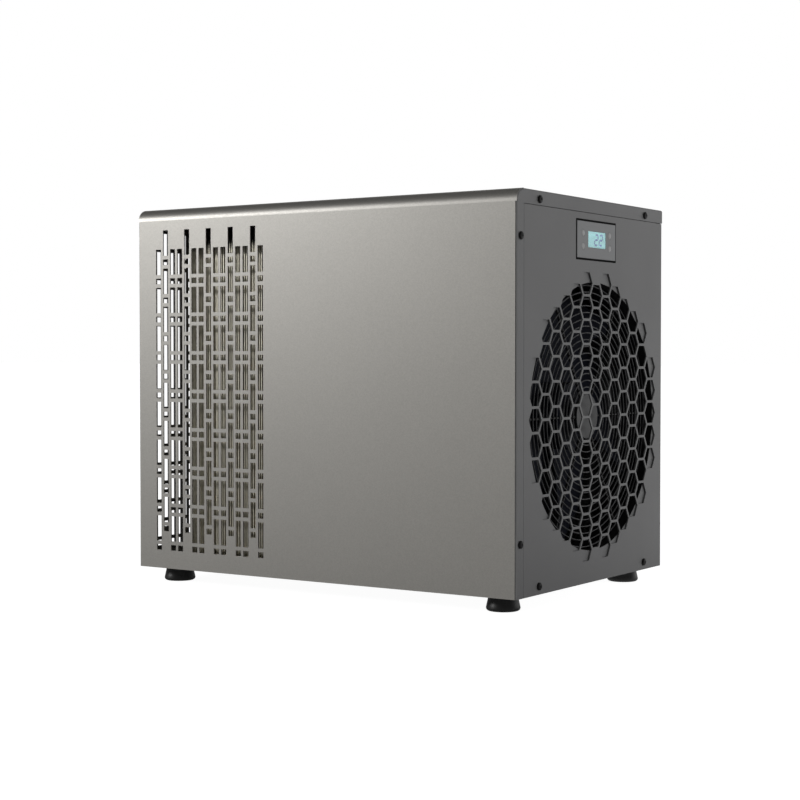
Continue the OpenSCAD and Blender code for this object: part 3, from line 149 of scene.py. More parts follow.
def make_tone():
    """Makes a colour lighter or darker where a mask is above or below its middle."""
    tree, given, result = effect(
        "tone",
        [("Colour", "Color", MID_GREY), ("Mask", "Float", 0.5), ("Amount", "Float", 0.1)],
        [("Colour", "Color")])
    swing = math_node(tree, "SUBTRACT", given["Mask"], 0.5)
    swing = math_node(tree, "MULTIPLY", swing, given["Amount"])
    value = math_node(tree, "ADD", swing, 1.0)
    toned = add(tree, "HueSaturation", {"Value": value, "Color": given["Colour"]})
    tree.links.new(toned.outputs["Color"], result.inputs["Colour"])
    return tree


def make_dust():
    """A thin film of pale dust on the faces that look up."""
    pale, speck, slope, level = (0.42, 0.39, 0.34, 1), 12 * MM, 0.4, 1.0
    tree, given, result = effect(
        "settled_dust",
        [("Colour", "Color", MID_GREY), ("Amount", "Float", 0.1)],
        [("Colour", "Color")])
    normal = add(tree, "TexCoord").outputs["Normal"]
    up = faded(tree, add(tree, "SeparateXYZ", {"Vector": normal}).outputs["Z"], slope, level)
    film = math_node(tree, "MULTIPLY", up, noise(tree, speck, 4.0, 0.65))
    film = math_node(tree, "MULTIPLY", film, given["Amount"])
    tree.links.new(mixed(tree, film, given["Colour"], pale), result.inputs["Colour"])
    return tree


def make_crystals():
    """Flat cells of random tone: the spangle of zinc, or the flakes of a metallic paint."""
    tree, given, result = effect("crystals", [("Size", "Float", 6 * MM)], [("Cell", "Float")])
    place = add(tree, "TexCoord").outputs["Object"]
    scale = math_node(tree, "DIVIDE", 1.0, given["Size"])
    cells = add(tree, "TexVoronoi", {"Vector": place, "Scale": scale})
    tone = add(tree, "SeparateColor", {"Color": cells.outputs["Color"]})
    tree.links.new(tone.outputs["Red"], result.inputs["Cell"])
    return tree


def make_lines():
    """Close parallel lines along one axis of the object, as left by drawing or rolling."""
    tree, given, result = effect(
        "drawn_lines",
        [("Along " + axis, "Float", 20 * MM) for axis in "XYZ"],
        [("Line", "Float")])
    place = object_place(tree)
    scaled = [math_node(tree, "DIVIDE", place[axis], given["Along " + axis]) for axis in "XYZ"]
    joined = add(tree, "CombineXYZ", dict(zip("XYZ", scaled)))
    lines = add(tree, "TexNoise", {"Vector": joined.outputs["Vector"], "Scale": 1.0, "Detail": 3.0})
    tree.links.new(lines.outputs["Fac"], result.inputs["Line"])
    return tree


def make_fan_circle():
    """Masks inside and outside a circle round the fan's axis."""
    tree, given, result = effect(
        "fan_circle", [("Radius", "Float", 100 * MM)], [("Inside", "Float"), ("Outside", "Float")])
    low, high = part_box("fan_rotor")
    middle = (low + high) / 2
    place = object_place(tree)
    across = math_node(tree, "SUBTRACT", place["Y"], middle.y)
    up = math_node(tree, "SUBTRACT", place["Z"], middle.z)
    square = math_node(tree, "ADD", math_node(tree, "MULTIPLY", across, across),
                       math_node(tree, "MULTIPLY", up, up))
    distance = math_node(tree, "POWER", square, 0.5)
    for label, test in (("Inside", "LESS_THAN"), ("Outside", "GREATER_THAN")):
        tree.links.new(math_node(tree, test, distance, given["Radius"]), result.inputs[label])
    return tree


GRAIN = make_grain()
TONE = make_tone()
DUST = make_dust()
CRYSTALS = make_crystals()
LINES = make_lines()
FAN_CIRCLE = make_fan_circle()


def use(tree, group, **inputs):
    """Places an effect in a material; input names are given with _ for a space."""
    node = tree.nodes.new("ShaderNodeGroup")
    node.node_tree = group
    for name, value in inputs.items():
        socket = node.inputs[name.replace("_", " ")]
        if isinstance(value, bpy.types.NodeSocket):
            tree.links.new(value, socket)
        else:
            socket.default_value = value
    return node.outputs


# Masks of single places

def spoke_shade(tree):
    """The guard's spokes, which lie in the shade behind the rings; its disc stays clear of it."""
    disc_edge = 21.5 * MM
    return use(tree, FAN_CIRCLE, Radius=disc_edge)["Outside"]


def mouth_shade(tree):
    """The inside of the shroud's mouth, painted dark as shade."""
    mouth_edge = 125.2 * MM
    return use(tree, FAN_CIRCLE, Radius=mouth_edge)["Inside"]


def seam_shade(tree):
    """The tabs behind the long seam between the hood's flange and an end panel, painted dark as the seam's
    shade.
    """
    flange, seam, strip, skin = 13.0 * MM, 0.6 * MM, 12.6 * MM, 0.02 * MM
    low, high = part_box("hood")
    place = object_place(tree)
    under_flange = math_node(tree, "LESS_THAN", place["Z"], high.z - flange - skin)
    over_panel = math_node(tree, "GREATER_THAN", place["Z"], high.z - flange - seam + skin)
    behind_strip = math_node(tree, "GREATER_THAN", place["Y"], low.y + strip)
    inside = math_node(tree, "MULTIPLY", under_flange, over_panel)
    return math_node(tree, "MULTIPLY", inside, behind_strip)


def lit_edge_paint(tree):
    """The rounded front edge of the hood's strips, painted lighter as the light that this edge catches."""
    bare_to, fade_to = 0.3 * MM, 2.0 * MM
    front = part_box("hood")[0].y
    return faded(tree, object_place(tree)["Y"], front + bare_to, front + fade_to, 1.0, 0.0)


# Materials

def start_material(name):
    """An empty material with its shader; returns the material, its tree and the shader's inputs."""
    material = bpy.data.materials.new(name)
    material.use_nodes = True
    tree = material.node_tree
    tree.nodes.clear()
    shader = tree.nodes.new("ShaderNodeBsdfPrincipled")
    output = tree.nodes.new("ShaderNodeOutputMaterial")
    tree.links.new(shader.outputs["BSDF"], output.inputs["Surface"])
    return material, tree, shader.inputs


def bump(tree, shader, height, depth):
    """Lets a height mask roughen the surface by a depth in metres."""
    node = add(tree, "Bump", {"Height": height, "Distance": depth, "Strength": 1.0})
    tree.links.new(node.outputs["Normal"], shader["Normal"])


def coated(name, colour, roughness, grain, tone=0.12, dust=0.1, metallic=0.0, specular=0.5, ior=1.5,
           edge_light=None, shade=None):
    """A coat, moulding or rubber: toned colour, patchy gloss, fine grain and a little dust.

    grain is the grain's size and depth in mm. The two optional masks paint places lighter as light on an
    edge, and near black as shade.
    """
    patch_size, gloss_swing = 80 * MM, 0.04
    # Colours painted in: a lighter grey for light on an edge, near black for shade
    painted_edge_light, dark = (0.19, 0.19, 0.19, 1), (0.003, 0.003, 0.003, 1)
    material, tree, shader = start_material(name)
    texture = use(tree, GRAIN, Grain_size=grain[0] * MM, Patch_size=patch_size)
    toned = use(tree, TONE, Colour=(*colour, 1), Mask=texture["Patches"], Amount=tone)
    speckled = use(tree, TONE, Colour=toned["Colour"], Mask=texture["Grain"], Amount=tone)
    coat = use(tree, DUST, Colour=speckled["Colour"], Amount=dust)["Colour"]
    if edge_light:
        # Painted light: the masked edge gets a lighter grey in place of the light it catches
        coat = mixed(tree, edge_light(tree), coat, painted_edge_light)
    if shade:
        # Painted shade: masked places are painted near black
        coat = mixed(tree, shade(tree), coat, dark)
    gloss = ranged(tree, texture["Patches"], roughness - gloss_swing, roughness + gloss_swing)
    tree.links.new(coat, shader["Base Color"])
    tree.links.new(gloss, shader["Roughness"])
    shader["Metallic"].default_value = metallic
    shader["Specular IOR Level"].default_value = specular
    shader["IOR"].default_value = ior
    bump(tree, shader, texture["Grain"], grain[1] * MM)
    return material


def metallic_paint(name, colour, roughness):
    """Silver paint of the front: flakes of differing tone under a fine ripple, and cut ends painted dark
    as shade.
    """
    flake, patch_size, gloss_swing = 0.9 * MM, 120 * MM, 0.05
    ripple, ripple_depth = 1.2 * MM, 0.03 * MM
    roll_h, flat_in, skin = 12 * MM, 1.4 * MM, 0.04 * MM
    roll_end_shade, flat_end_shade = (0.11, 0.11, 0.11, 1), (0.08, 0.08, 0.08, 1)
    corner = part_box("front_fascia")[1]
    material, tree, shader = start_material(name)
    flakes = use(tree, CRYSTALS, Size=flake)
    texture = use(tree, GRAIN, Grain_size=ripple, Patch_size=patch_size)
    toned = use(tree, TONE, Colour=(*colour, 1), Mask=texture["Patches"], Amount=0.05)
    flaked = use(tree, TONE, Colour=toned["Colour"], Mask=flakes["Cell"], Amount=0.10)
    place = object_place(tree)
    along = math_node(tree, "ABSOLUTE", place["X"], 0.0)
    flat = math_node(tree, "LESS_THAN", place["Z"], corner.z - roll_h)
    reach = math_node(tree, "ADD", along, math_node(tree, "MULTIPLY", flat, flat_in))
    # Painted shade: the sheet's cut ends are painted dark, grey along the roll and darker below it
    cut_end = math_node(tree, "GREATER_THAN", reach, corner.x - skin)
    ended = mixed(tree, cut_end, flaked["Colour"], mixed(tree, flat, roll_end_shade, flat_end_shade))
    gloss = ranged(tree, texture["Grain"], roughness - gloss_swing, roughness + gloss_swing)
    tree.links.new(ended, shader["Base Color"])
    tree.links.new(gloss, shader["Roughness"])
    shader["Metallic"].default_value = 1.0
    bump(tree, shader, texture["Grain"], ripple_depth)
    return material


def galvanised(name, colour, crystal_size):
    """Zinc-coated steel: flat crystals that differ in tone and gloss."""
    grain_size, grain_depth, patch_size = 1.5 * MM, 0.04 * MM, 50 * MM
    material, tree, shader = start_material(name)
    crystal = use(tree, CRYSTALS, Size=crystal_size)["Cell"]
    texture = use(tree, GRAIN, Grain_size=grain_size, Patch_size=patch_size)
    toned = use(tree, TONE, Colour=(*colour, 1), Mask=crystal, Amount=0.35)
    dusted = use(tree, DUST, Colour=toned["Colour"], Amount=0.25)
    tree.links.new(dusted["Colour"], shader["Base Color"])
    tree.links.new(ranged(tree, crystal, 0.30, 0.48), shader["Roughness"])
    shader["Metallic"].default_value = 0.9
    bump(tree, shader, texture["Grain"], grain_depth)
    return material


def drawn_metal(name, colour, tarnish, roughness, lines, amount, shaded_top=None):
    """Drawn or rolled bare metal with lines along it and patches of tarnish.

    lines are the lengths of the lines along X, Y and Z in mm, and the optional top height darkens the
    metal below it as painted shade.
    """
    grain_size, patch_size, line_depth, gloss_swing = 2 * MM, 30 * MM, 0.02 * MM, 0.06
    shade_from, shade_to, shade_colour = 9 * MM, 2 * MM, (0.03, 0.03, 0.025, 1)
    material, tree, shader = start_material(name)
    along_x, along_y, along_z = (length * MM for length in lines)
    line = use(tree, LINES, Along_X=along_x, Along_Y=along_y, Along_Z=along_z)["Line"]
    texture = use(tree, GRAIN, Grain_size=grain_size, Patch_size=patch_size)
    patch = ranged(tree, texture["Patches"], 0.0, amount)
    tarnished = mixed(tree, patch, (*colour, 1), (*tarnish, 1))
    metal = use(tree, TONE, Colour=tarnished, Mask=line, Amount=0.25)["Colour"]
    if shaded_top:
        # Painted shade: the metal darkens towards the top, where the hood shades it
        up = faded(tree, object_place(tree)["Z"], shaded_top - shade_from, shaded_top - shade_to)
        metal = mixed(tree, up, metal, shade_colour)
    gloss = ranged(tree, line, roughness - gloss_swing, roughness + gloss_swing)
    tree.links.new(metal, shader["Base Color"])
    tree.links.new(gloss, shader["Roughness"])
    shader["Metallic"].default_value = 0.9
    bump(tree, shader, line, line_depth)
    return material


def clear_acrylic(name):
    """Clear acrylic with faint finger smears."""
    material, tree, shader = start_material(name)
    texture = use(tree, GRAIN, Grain_size=2 * MM, Patch_size=6 * MM)
    tree.links.new(ranged(tree, texture["Patches"], 0.02, 0.10), shader["Roughness"])
    shader["Base Color"].default_value = (0.93, 0.97, 0.97, 1)
    shader["Transmission Weight"].default_value = 1.0
    shader["IOR"].default_value = 1.49
    return material


def backlight(name, colour, strength):
    """A lit display film: brighter in its middle, with a fine diffuser grain."""
    bright, dim = 0.62, 0.38
    material, tree, shader = start_material(name)
    low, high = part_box("display")
    middle = (low + high) / 2
    place = add(tree, "TexCoord").outputs["Object"]
    moved = add(tree, "Mapping", {"Vector": place, "Location": -middle})
    across = add(tree, "SeparateXYZ", {"Vector": moved.outputs["Vector"]}).outputs["Y"]
    along = math_node(tree, "ABSOLUTE", across, 0.0)
    fade = faded(tree, along, 0.0, (high.y - low.y) / 2, bright, dim)
    texture = use(tree, GRAIN, Grain_size=0.4 * MM, Patch_size=20 * MM)
    toned = use(tree, TONE, Colour=(*colour, 1), Mask=fade, Amount=0.5)
    fine = use(tree, TONE, Colour=toned["Colour"], Mask=texture["Grain"], Amount=0.08)
    tree.links.new(fine["Colour"], shader["Base Color"])
    tree.links.new(fine["Colour"], shader["Emission Color"])
    shader["Emission Strength"].default_value = strength
    shader["Roughness"].default_value = 0.5
    return material


GREY_COAT = dict(colour=(0.100, 0.100, 0.101), roughness=0.50, grain=(0.7, 0.05), tone=0.08, dust=0.04)
GUARD_COAT = dict(roughness=0.42, grain=(0.6, 0.04), dust=0.05)

# The finish of each of the record's material slots
finishes = {
    # Grey coat: the strips' rounded edge is painted lighter as light, and the seam's tabs are painted dark
    # as shade
    "grey_paint": coated("dark_grey_powder_coat", **GREY_COAT, edge_light=lit_edge_paint, shade=seam_shade),
    "silver_paint": metallic_paint("silver_flake_paint", colour=(0.50, 0.486, 0.456), roughness=0.46),
    "galvanised_steel": galvanised("zinc_spangle", colour=(0.56, 0.57, 0.58), crystal_size=6 * MM),
    "guard_wire": coated("coated_guard_wire", colour=(0.038, 0.038, 0.040), **GUARD_COAT),
    "motor_casing": coated("cast_motor_casing", colour=(0.10, 0.10, 0.105), roughness=0.45,
                           grain=(1.2, 0.10), metallic=0.3, dust=0.2),
    "black_rubber": coated("moulded_rubber", colour=(0.003, 0.003, 0.003), roughness=0.42,
                           grain=(0.5, 0.02), tone=0.2, dust=0.01, specular=0.75),
    "black_screw": coated("black_screw_coat", colour=(0.006, 0.006, 0.006), roughness=0.50,
                          grain=(0.4, 0.01), dust=0.02, specular=0.3),
    "rotor_plastic": coated("moulded_fan_plastic", colour=(0.010, 0.011, 0.016), roughness=0.60,
                            grain=(0.8, 0.03), dust=0.05, specular=0.12),
    # The fins darken towards their top as painted shade
    "fin_aluminium": drawn_metal("gold_coated_fins", colour=(0.90, 0.86, 0.73), tarnish=(0.78, 0.73, 0.60),
                                 roughness=0.44, lines=(4, 4, 0.6), amount=0.4,
                                 shaded_top=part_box("evaporator_fins")[1].z),
    "copper": drawn_metal("drawn_copper", colour=(0.80, 0.40, 0.24), tarnish=(0.36, 0.17, 0.10),
                          roughness=0.30, lines=(30, 30, 1.2), amount=0.7),
    "black_enamel": coated("black_shell_enamel", colour=(0.014, 0.014, 0.015), roughness=0.25,
                           grain=(2, 0.06), dust=0.3),
    "black_plastic": coated("glass_filled_plastic", colour=(0.020, 0.020, 0.021), roughness=0.46,
                            grain=(0.6, 0.05), tone=0.2, dust=0.06),
    "vessel_plastic": coated("vessel_shell", colour=(0.58, 0.58, 0.56), roughness=0.40,
                             grain=(1, 0.04), dust=0.25),
    "capacitor_can": drawn_metal("capacitor_can", colour=(0.72, 0.73, 0.74), tarnish=(0.5, 0.5, 0.5),
                                 roughness=0.28, lines=(0.8, 0.8, 20), amount=0.4),
    "controller_plastic": coated("controller_moulding", colour=(0.136, 0.139, 0.142), roughness=0.44,
                                 grain=(0.4, 0.03), tone=0.06, dust=0.0),
    "window_glass": clear_acrylic("display_window_acrylic"),
    "display_film": backlight("lit_display_film", colour=(0.19, 0.44, 0.46), strength=0.5),
}
digit_ink = coated("display_digits", colour=(0.050, 0.130, 0.46), roughness=0.5, grain=(0.3, 0.01),
                   tone=0.1, dust=0.0)
key_tint = coated("key_moulding", colour=(0.24, 0.24, 0.24), roughness=0.42, grain=(0.4, 0.03),
                  tone=0.06, dust=0.0)

# Nodes whose finish differs from the rest of their slot
own_finishes = {
    # The shroud's grey coat, with the inside of its mouth painted dark as shade
    "fan_shroud": coated("grey_coat_dark_mouth", **GREY_COAT, shade=mouth_shade),
    # The guard's disc is a darker copy of the rings' coat as painted shade, and its spokes are painted
    # near black as shade
    "guard_spider": coated("guard_disc_painted_shade", colour=(0.020, 0.020, 0.021), **GUARD_COAT,
                           shade=spoke_shade),
    # The gasket is near-black matte foam, and its black also stands in for the shade in the gap round the
    # controller
    "controller_gasket": coated("gasket_foam_and_gap_shade", colour=(0.006, 0.006, 0.006), roughness=0.85,
                                grain=(0.6, 0.04), tone=0.2, dust=0.0, specular=0.08),
}

for part in frame["record"]["subparts"]:
    mesh = frame["nodes"][part["node"]].data
    mesh.materials.clear()
    mesh.materials.append(own_finishes.get(part["node"], finishes[part["material_slot"]]))


# Ways to shape a piece

def arc(middle, radius, start, end, steps):
    """Points (radius, height) of a rounded edge in a profile; angles in degrees."""
    turn = [math.radians(start + (end - start) * i / steps) for i in range(steps + 1)]
    return [(middle[0] + radius * math.cos(a), middle[1] + radius * math.sin(a)) for a in turn]


def close_shell(bm):
    """Merges a shape's seams and points its faces outwards."""
    bmesh.ops.remove_doubles(bm, verts=bm.verts, dist=SEAM)
    bmesh.ops.recalc_face_normals(bm, faces=bm.faces)


def turned(profile, steps=64, solid=False):
    """A shape turned round Z from (radius, height) points in mm; a solid one starts and ends on Z."""
    bm = bmesh.new()
    points = [bm.verts.new((r * MM, 0, z * MM)) for r, z in profile]
    ends = points[1:] if solid else points[1:] + points[:1]
    edges = [bm.edges.new(pair) for pair in zip(points, ends)]
    bmesh.ops.spin(bm, geom=points + edges, axis=(0, 0, 1), angle=FULL_TURN, steps=steps, use_merge=True)
    close_shell(bm)
    return bm


def first_loop(bm, places):
    """A closed loop of edges through the places."""
    points = [bm.verts.new(p) for p in places]
    return points, [bm.edges.new(pair) for pair in zip(points, points[1:] + points[:1])]


def stretch_loop(bm, loop, places):
    """Extrudes a loop of edges and puts the new points, in order, at the places; returns the new loop."""
    points, edges = loop
    made = bmesh.ops.extrude_edge_only(bm, edges=edges)["geom"]
    new_edges = [g for g in made
                 if isinstance(g, bmesh.types.BMEdge) and all(v not in points for v in g.verts)]
    partner = {}
    for face in (g for g in made if isinstance(g, bmesh.types.BMFace)):
        for side in face.edges:
            a, b = side.verts
            if a in points and b not in points:
                partner[a] = b
            elif b in points and a not in points:
                partner[b] = a
    new_points = [partner[p] for p in points]
    for point, place in zip(new_points, places):
        point.co = place
    return new_points, new_edges


def fill_loop(bm, loop):
    """Closes a loop of edges with a face."""
    bmesh.ops.edgeloop_fill(bm, edges=loop[1])


def into(total, shape, matrix):
    """Adds a shape, moved by a matrix, to a bmesh that collects several."""
    mesh = bpy.data.meshes.new("shape")
    shape.to_mesh(mesh)
    mesh.transform(matrix)
    total.from_mesh(mesh)
    bpy.data.meshes.remove(mesh)


def raised_points(made):
    """The points among what an extrusion made."""
    return [g for g in made["geom"] if isinstance(g, bmesh.types.BMVert)]


def finish_piece(bm, name, body, slot, *stands_for, material=None, crease=35):
    """Makes a piece of a bmesh: creased, coated, riding on a body and standing for CAD nodes."""
    for face in bm.faces:
        face.smooth = True
    for edge in bm.edges:
        if len(edge.link_faces) == 2 and edge.calc_face_angle(0) > math.radians(crease):
            edge.smooth = False
    mesh = bpy.data.meshes.new(name)
    bm.to_mesh(mesh)
    bm.free()
    mesh.materials.append(material or finishes[slot])
    piece = bpy.data.objects.new(name, mesh)
    scene.collection.objects.link(piece)
    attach(piece, body)
    if stands_for:
        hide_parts(*stands_for)


def separate_solids(node):
    """The lowest and highest corners of each separate solid in a CAD node."""
    bm = bmesh.new()
    bm.from_mesh(frame["nodes"][node].data)
    bmesh.ops.remove_doubles(bm, verts=bm.verts, dist=CAD_SEAM)
    waiting = set(bm.verts)
    boxes = []
    while waiting:
        grown = [waiting.pop()]
        low, high = grown[0].co.copy(), grown[0].co.copy()
        while grown:
            point = grown.pop()
            low = Vector(map(min, low, point.co))
            high = Vector(map(max, high, point.co))
            for edge in point.link_edges:
                other = edge.other_vert(point)
                if other in waiting:
                    waiting.remove(other)
                    grown.append(other)
        boxes.append((low, high))
    bm.free()
    return sorted(boxes, key=lambda box: tuple(box[0]))


# Feet

def rubber_foot(name):
    """A tapered foot with a rounded lip on the floor and a recess for its bolt."""
    low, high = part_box(name)
    middle = (low + high) / 2
    radius = (high.x - low.x) / 2 / MM
    height = (high.z - low.z) / MM
    lip, top, top_round = 2.8, 13.0, 0.7
    hole, recess, recess_h, recess_edge, mouth_round = 3.15, 8.0, 6.5, 0.5, 0.6
    shoulder = height - top_round
    profile = arc((radius - lip, lip), lip, -90, 0, 8)
    profile += [(radius + (top - radius) * t, lip + (shoulder - lip) * t) for t in (0.25, 0.5, 0.75)]
    profile += arc((top - top_round, shoulder), top_round, 0, 90, 4)
    profile += [(hole, height), (hole, recess_h)]
    profile += [(recess - recess_edge, recess_h), (recess, recess_h - recess_edge)]
    profile += arc((recess + mouth_round, mouth_round), mouth_round, 180, 270, 3)
    bm = turned(profile)
    bmesh.ops.translate(bm, verts=bm.verts, vec=(middle.x, middle.y, low.z))
    finish_piece(bm, "tapered_" + name, "cabinet", "black_rubber", name)


for side in ("left", "right"):
    rubber_foot("foot_front_" + side)
    rubber_foot("foot_rear_" + side)


# Screws

def pan_screw():
    """A pan-head screw down -Z with its head on the plane z = 0 and a cross recess in its dome."""
    head, rim_h, rim_edge, dome_power = 3.5, 1.1, 0.15, 2.4
    dome_rings = 2.1, 2.6, 3.0, 3.25, 3.4, 3.47
    shank, length, tip = 1.8, 6.0, 0.6
    arm, wing, recess_depth, recess_taper = 1.4, 0.35, 1.1, 0.62
    splits, first_corner = 3, 45
    crown = SCREW_HEAD_H - rim_h

    def dome(radius):
        return rim_h + crown * math.sqrt(max(0.0, 1 - (radius / head) ** dome_power))

    corner = [(wing, wing), (wing, arm), (-wing, arm)]
    outline = []
    for quarter in range(4):
        turn = Matrix.Rotation(quarter * QUARTER, 2)
        outline += [turn @ Vector(c) for c in corner]
    cross = []
    for a, b in zip(outline, outline[1:] + outline[:1]):
        cross += [a.lerp(b, i / splits) for i in range(splits)]
    count = len(cross)
    spokes = [math.radians(first_corner + 360 * i / count) for i in range(count)]

    def ring(radius, z):
        return [Vector((radius * math.cos(a), radius * math.sin(a), z)) * MM for a in spokes]

    bm = bmesh.new()
    rim = first_loop(bm, [Vector((p.x, p.y, dome(p.length))) * MM for p in cross])
    recess_floor = [Vector((p.x * recess_taper, p.y * recess_taper, SCREW_HEAD_H - recess_depth)) * MM
                    for p in cross]
    fill_loop(bm, stretch_loop(bm, rim, recess_floor))
    rings = [(radius, dome(radius)) for radius in dome_rings]
    rings += [(head, rim_h), (head, rim_edge), (head - rim_edge, 0.0)]
    rings += [(shank, 0.0), (shank, tip - length), (shank - tip, -length)]
    loop = rim
    for radius, z in rings:
        loop = stretch_loop(bm, loop, ring(radius, z))
    fill_loop(bm, loop)
    close_shell(bm)
    return bm


def screw_group(name, node, turn, axis, outward):
    """Screws in place of a CAD group; each head's top lies where the CAD screw's does."""
    first_twist, next_twist = 23, 67
    head_h = SCREW_HEAD_H * MM
    screw = pan_screw()
    group = bmesh.new()
    for i, (low, high) in enumerate(separate_solids(node)):
        seat = (low + high) / 2
        seat[axis] = (high[axis] - head_h) if outward > 0 else (low[axis] + head_h)
        twist = Matrix.Rotation(math.radians(first_twist + next_twist * i), 4, "Z")
        into(group, screw, Matrix.Translation(seat) @ turn @ twist)
    screw.free()
    finish_piece(group, name, "cabinet", "black_screw", node, crease=30)


screw_group("cross_screws_fan_end", "fan_end_screws", TO_FAN_END, 0, 1)
screw_group("cross_screws_intake_end", "intake_end_screws", TO_INTAKE_END, 0, -1)
screw_group("cross_screws_rear", "rear_screws", TO_REAR, 1, 1)


# Coil fins

def rippled_strip(depth, height, thick):
    """A fin along +X with straight ends and ripples between them."""
    ripple, waves, steps = 0.5 * MM, 2.5, 10
    strip = bmesh.new()
    points = []
    for i in range(steps + 3):
        t = min(max(i - 1, 0), steps) / steps
        swing = ripple * math.sin(waves * FULL_TURN * t)
        points.append(strip.verts.new((depth * i / (steps + 2), swing, 0)))
    edges = [strip.edges.new(pair) for pair in zip(points, points[1:])]
    made = bmesh.ops.extrude_edge_only(strip, edges=edges)
    bmesh.ops.translate(strip, verts=raised_points(made), vec=(0, 0, height))
    bmesh.ops.recalc_face_normals(strip, faces=strip.faces)
    bmesh.ops.solidify(strip, geom=strip.faces[:], thickness=thick)
    return strip


def rippled_fins():
    """Close rippled fins along the coil's front leg, round its corner and along its intake leg.

    From the angle bold_from round the corner on, the fins show from the front and are bolder.
    """
    low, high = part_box("evaporator_fins")
    depth, radius, pitch, margin = 20 * MM, 72 * MM, 2.6 * MM, 1.2 * MM
    bold_from, bend_from, bend_turn = 228, 180, 90
    corner = Vector((low.x + radius, low.y + radius, low.z))
    bold_fin = rippled_strip(depth, high.z - low.z, 0.9 * MM)
    thin_fin = rippled_strip(depth, high.z - low.z, 0.3 * MM)
    block = bmesh.new()

    def stand(fin, place, angle, out=0.0):
        turn = Matrix.Rotation(math.radians(angle), 4, "Z")
        into(block, fin, Matrix.Translation(place) @ turn @ Matrix.Translation((out, 0, 0)))

    front_count = int((high.x - corner.x - margin) / pitch)
    for i in range(front_count):
        stand(bold_fin, Vector((corner.x + (i + 1) * pitch, low.y, low.z)), 90)
    bend_count = round((radius - depth / 2) * QUARTER / pitch)
    for i in range(bend_count + 1):
        angle = bend_from + bend_turn * i / bend_count
        stand(bold_fin if angle > bold_from else thin_fin, corner, angle, out=radius - depth)
    side_count = int((high.y - corner.y - margin) / pitch)
    for i in range(side_count):
        stand(thin_fin, Vector((low.x, corner.y + (i + 1) * pitch, low.z)), 0)
    bold_fin.free()
    thin_fin.free()
    finish_piece(block, "rippled_fins", "cabinet", "fin_aluminium", "evaporator_fins", crease=50)


rippled_fins()


# Rear fittings

def notch_round(bm, count, depth, beyond, phase, low=-math.inf, high=math.inf):
    """Presses notches round Z into the points beyond a radius and between two heights, sizes in mm.

    phase is 1 for a notch on the X axis, and -1 for a rib there.
    """
    for point in bm.verts:
        flat = Vector((point.co.x, point.co.y, 0))
        if flat.length > beyond * MM and low * MM < point.co.z < high * MM:
            swing = phase * math.cos(count * math.atan2(flat.y, flat.x))
            point.co -= flat.normalized() * depth * MM * max(0.0, swing)


def hose_port(name):
    """A barbed hose tail with a gripped collar outside the rear panel and a plain shank behind it."""
    low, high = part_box(name)
    middle = (low + high) / 2
    length = (high.y - low.y) / MM
    collar, shank, tail, bore = 27.0, 20.0, 19.0, 14.0
    tail_h, collar_h, collar_round, shank_edge, bore_edge = 34.0, 6.0, 1.0, 0.6, 0.5
    barbs, barb_pitch, barb_h, first_barb, barb_depth, root = 4, 6.6, 5.6, 4.2, 1.5, 0.8
    tip_in, tip_low, tip_high = 0.15, 0.2, 0.5
    end_in, end_edge, end_h = 0.3, 1.0, 0.8
    tail_start = length - tail_h
    collar_start = tail_start - collar_h
    valley = tail - barb_depth
    profile = [(bore, 0), (shank - shank_edge, 0), (shank, shank_edge), (shank, collar_start)]
    profile += [(collar - collar_round, collar_start)]
    profile += arc((collar - collar_round, collar_start + collar_round), collar_round, -90, 0, 3)
    profile += arc((collar - collar_round, tail_start - collar_round), collar_round, 0, 90, 3)
    profile += [(valley + root, tail_start), (valley, tail_start + root)]
    for i in range(barbs):
        start = tail_start + first_barb + i * barb_pitch
        profile += [(valley, start), (tail - tip_in, start + tip_low), (tail, start + tip_high)]
        profile += [(valley, start + barb_h)]
    profile += [(valley - end_in, length - end_h), (valley - end_edge, length)]
    profile += [(bore + bore_edge, length), (bore, length - bore_edge)]
    bm = turned(profile, steps=96)
    notch_round(bm, count=16, depth=0.9, beyond=collar - 0.8, phase=-1)
    place = Matrix.Translation((middle.x, low.y, middle.z))
    bmesh.ops.transform(bm, matrix=place @ TO_REAR, verts=bm.verts)
    finish_piece(bm, "barbed_" + name, "cabinet", "black_plastic", name)


def hexagon_ring(corner, bore, height, chamfer):
    """A hexagonal ring along +Z with chamfered corners at its top, sizes in mm."""
    sides, splits, corner_left = 6, 4, 0.4
    count = sides * splits
    rounded = corner * math.cos(math.pi / sides) + chamfer * corner_left

    def hexagon(z):
        places = []
        for side in range(sides):
            a, b = (Matrix.Rotation(FULL_TURN * i / sides, 3, "Z") @ Vector((corner, 0, z))
                    for i in (side, side + 1))
            places += [a.lerp(b, i / splits) * MM for i in range(splits)]
        return places

    def trimmed(z):
        return [p if p.xy.length < rounded * MM else Vector((*(p.xy.normalized() * rounded * MM), p.z))
                for p in hexagon(z)]

    def circle(z):
        turn = [FULL_TURN * i / count for i in range(count)]
        return [Vector((bore * math.cos(a), bore * math.sin(a), z)) * MM for a in turn]

    bm = bmesh.new()
    start = first_loop(bm, hexagon(0))
    loop = start
    for places in (hexagon(height - chamfer), trimmed(height), circle(height), circle(0)):
        loop = stretch_loop(bm, loop, places)
    bmesh.ops.bridge_loops(bm, edges=start[1] + loop[1])
    close_shell(bm)
    return bm


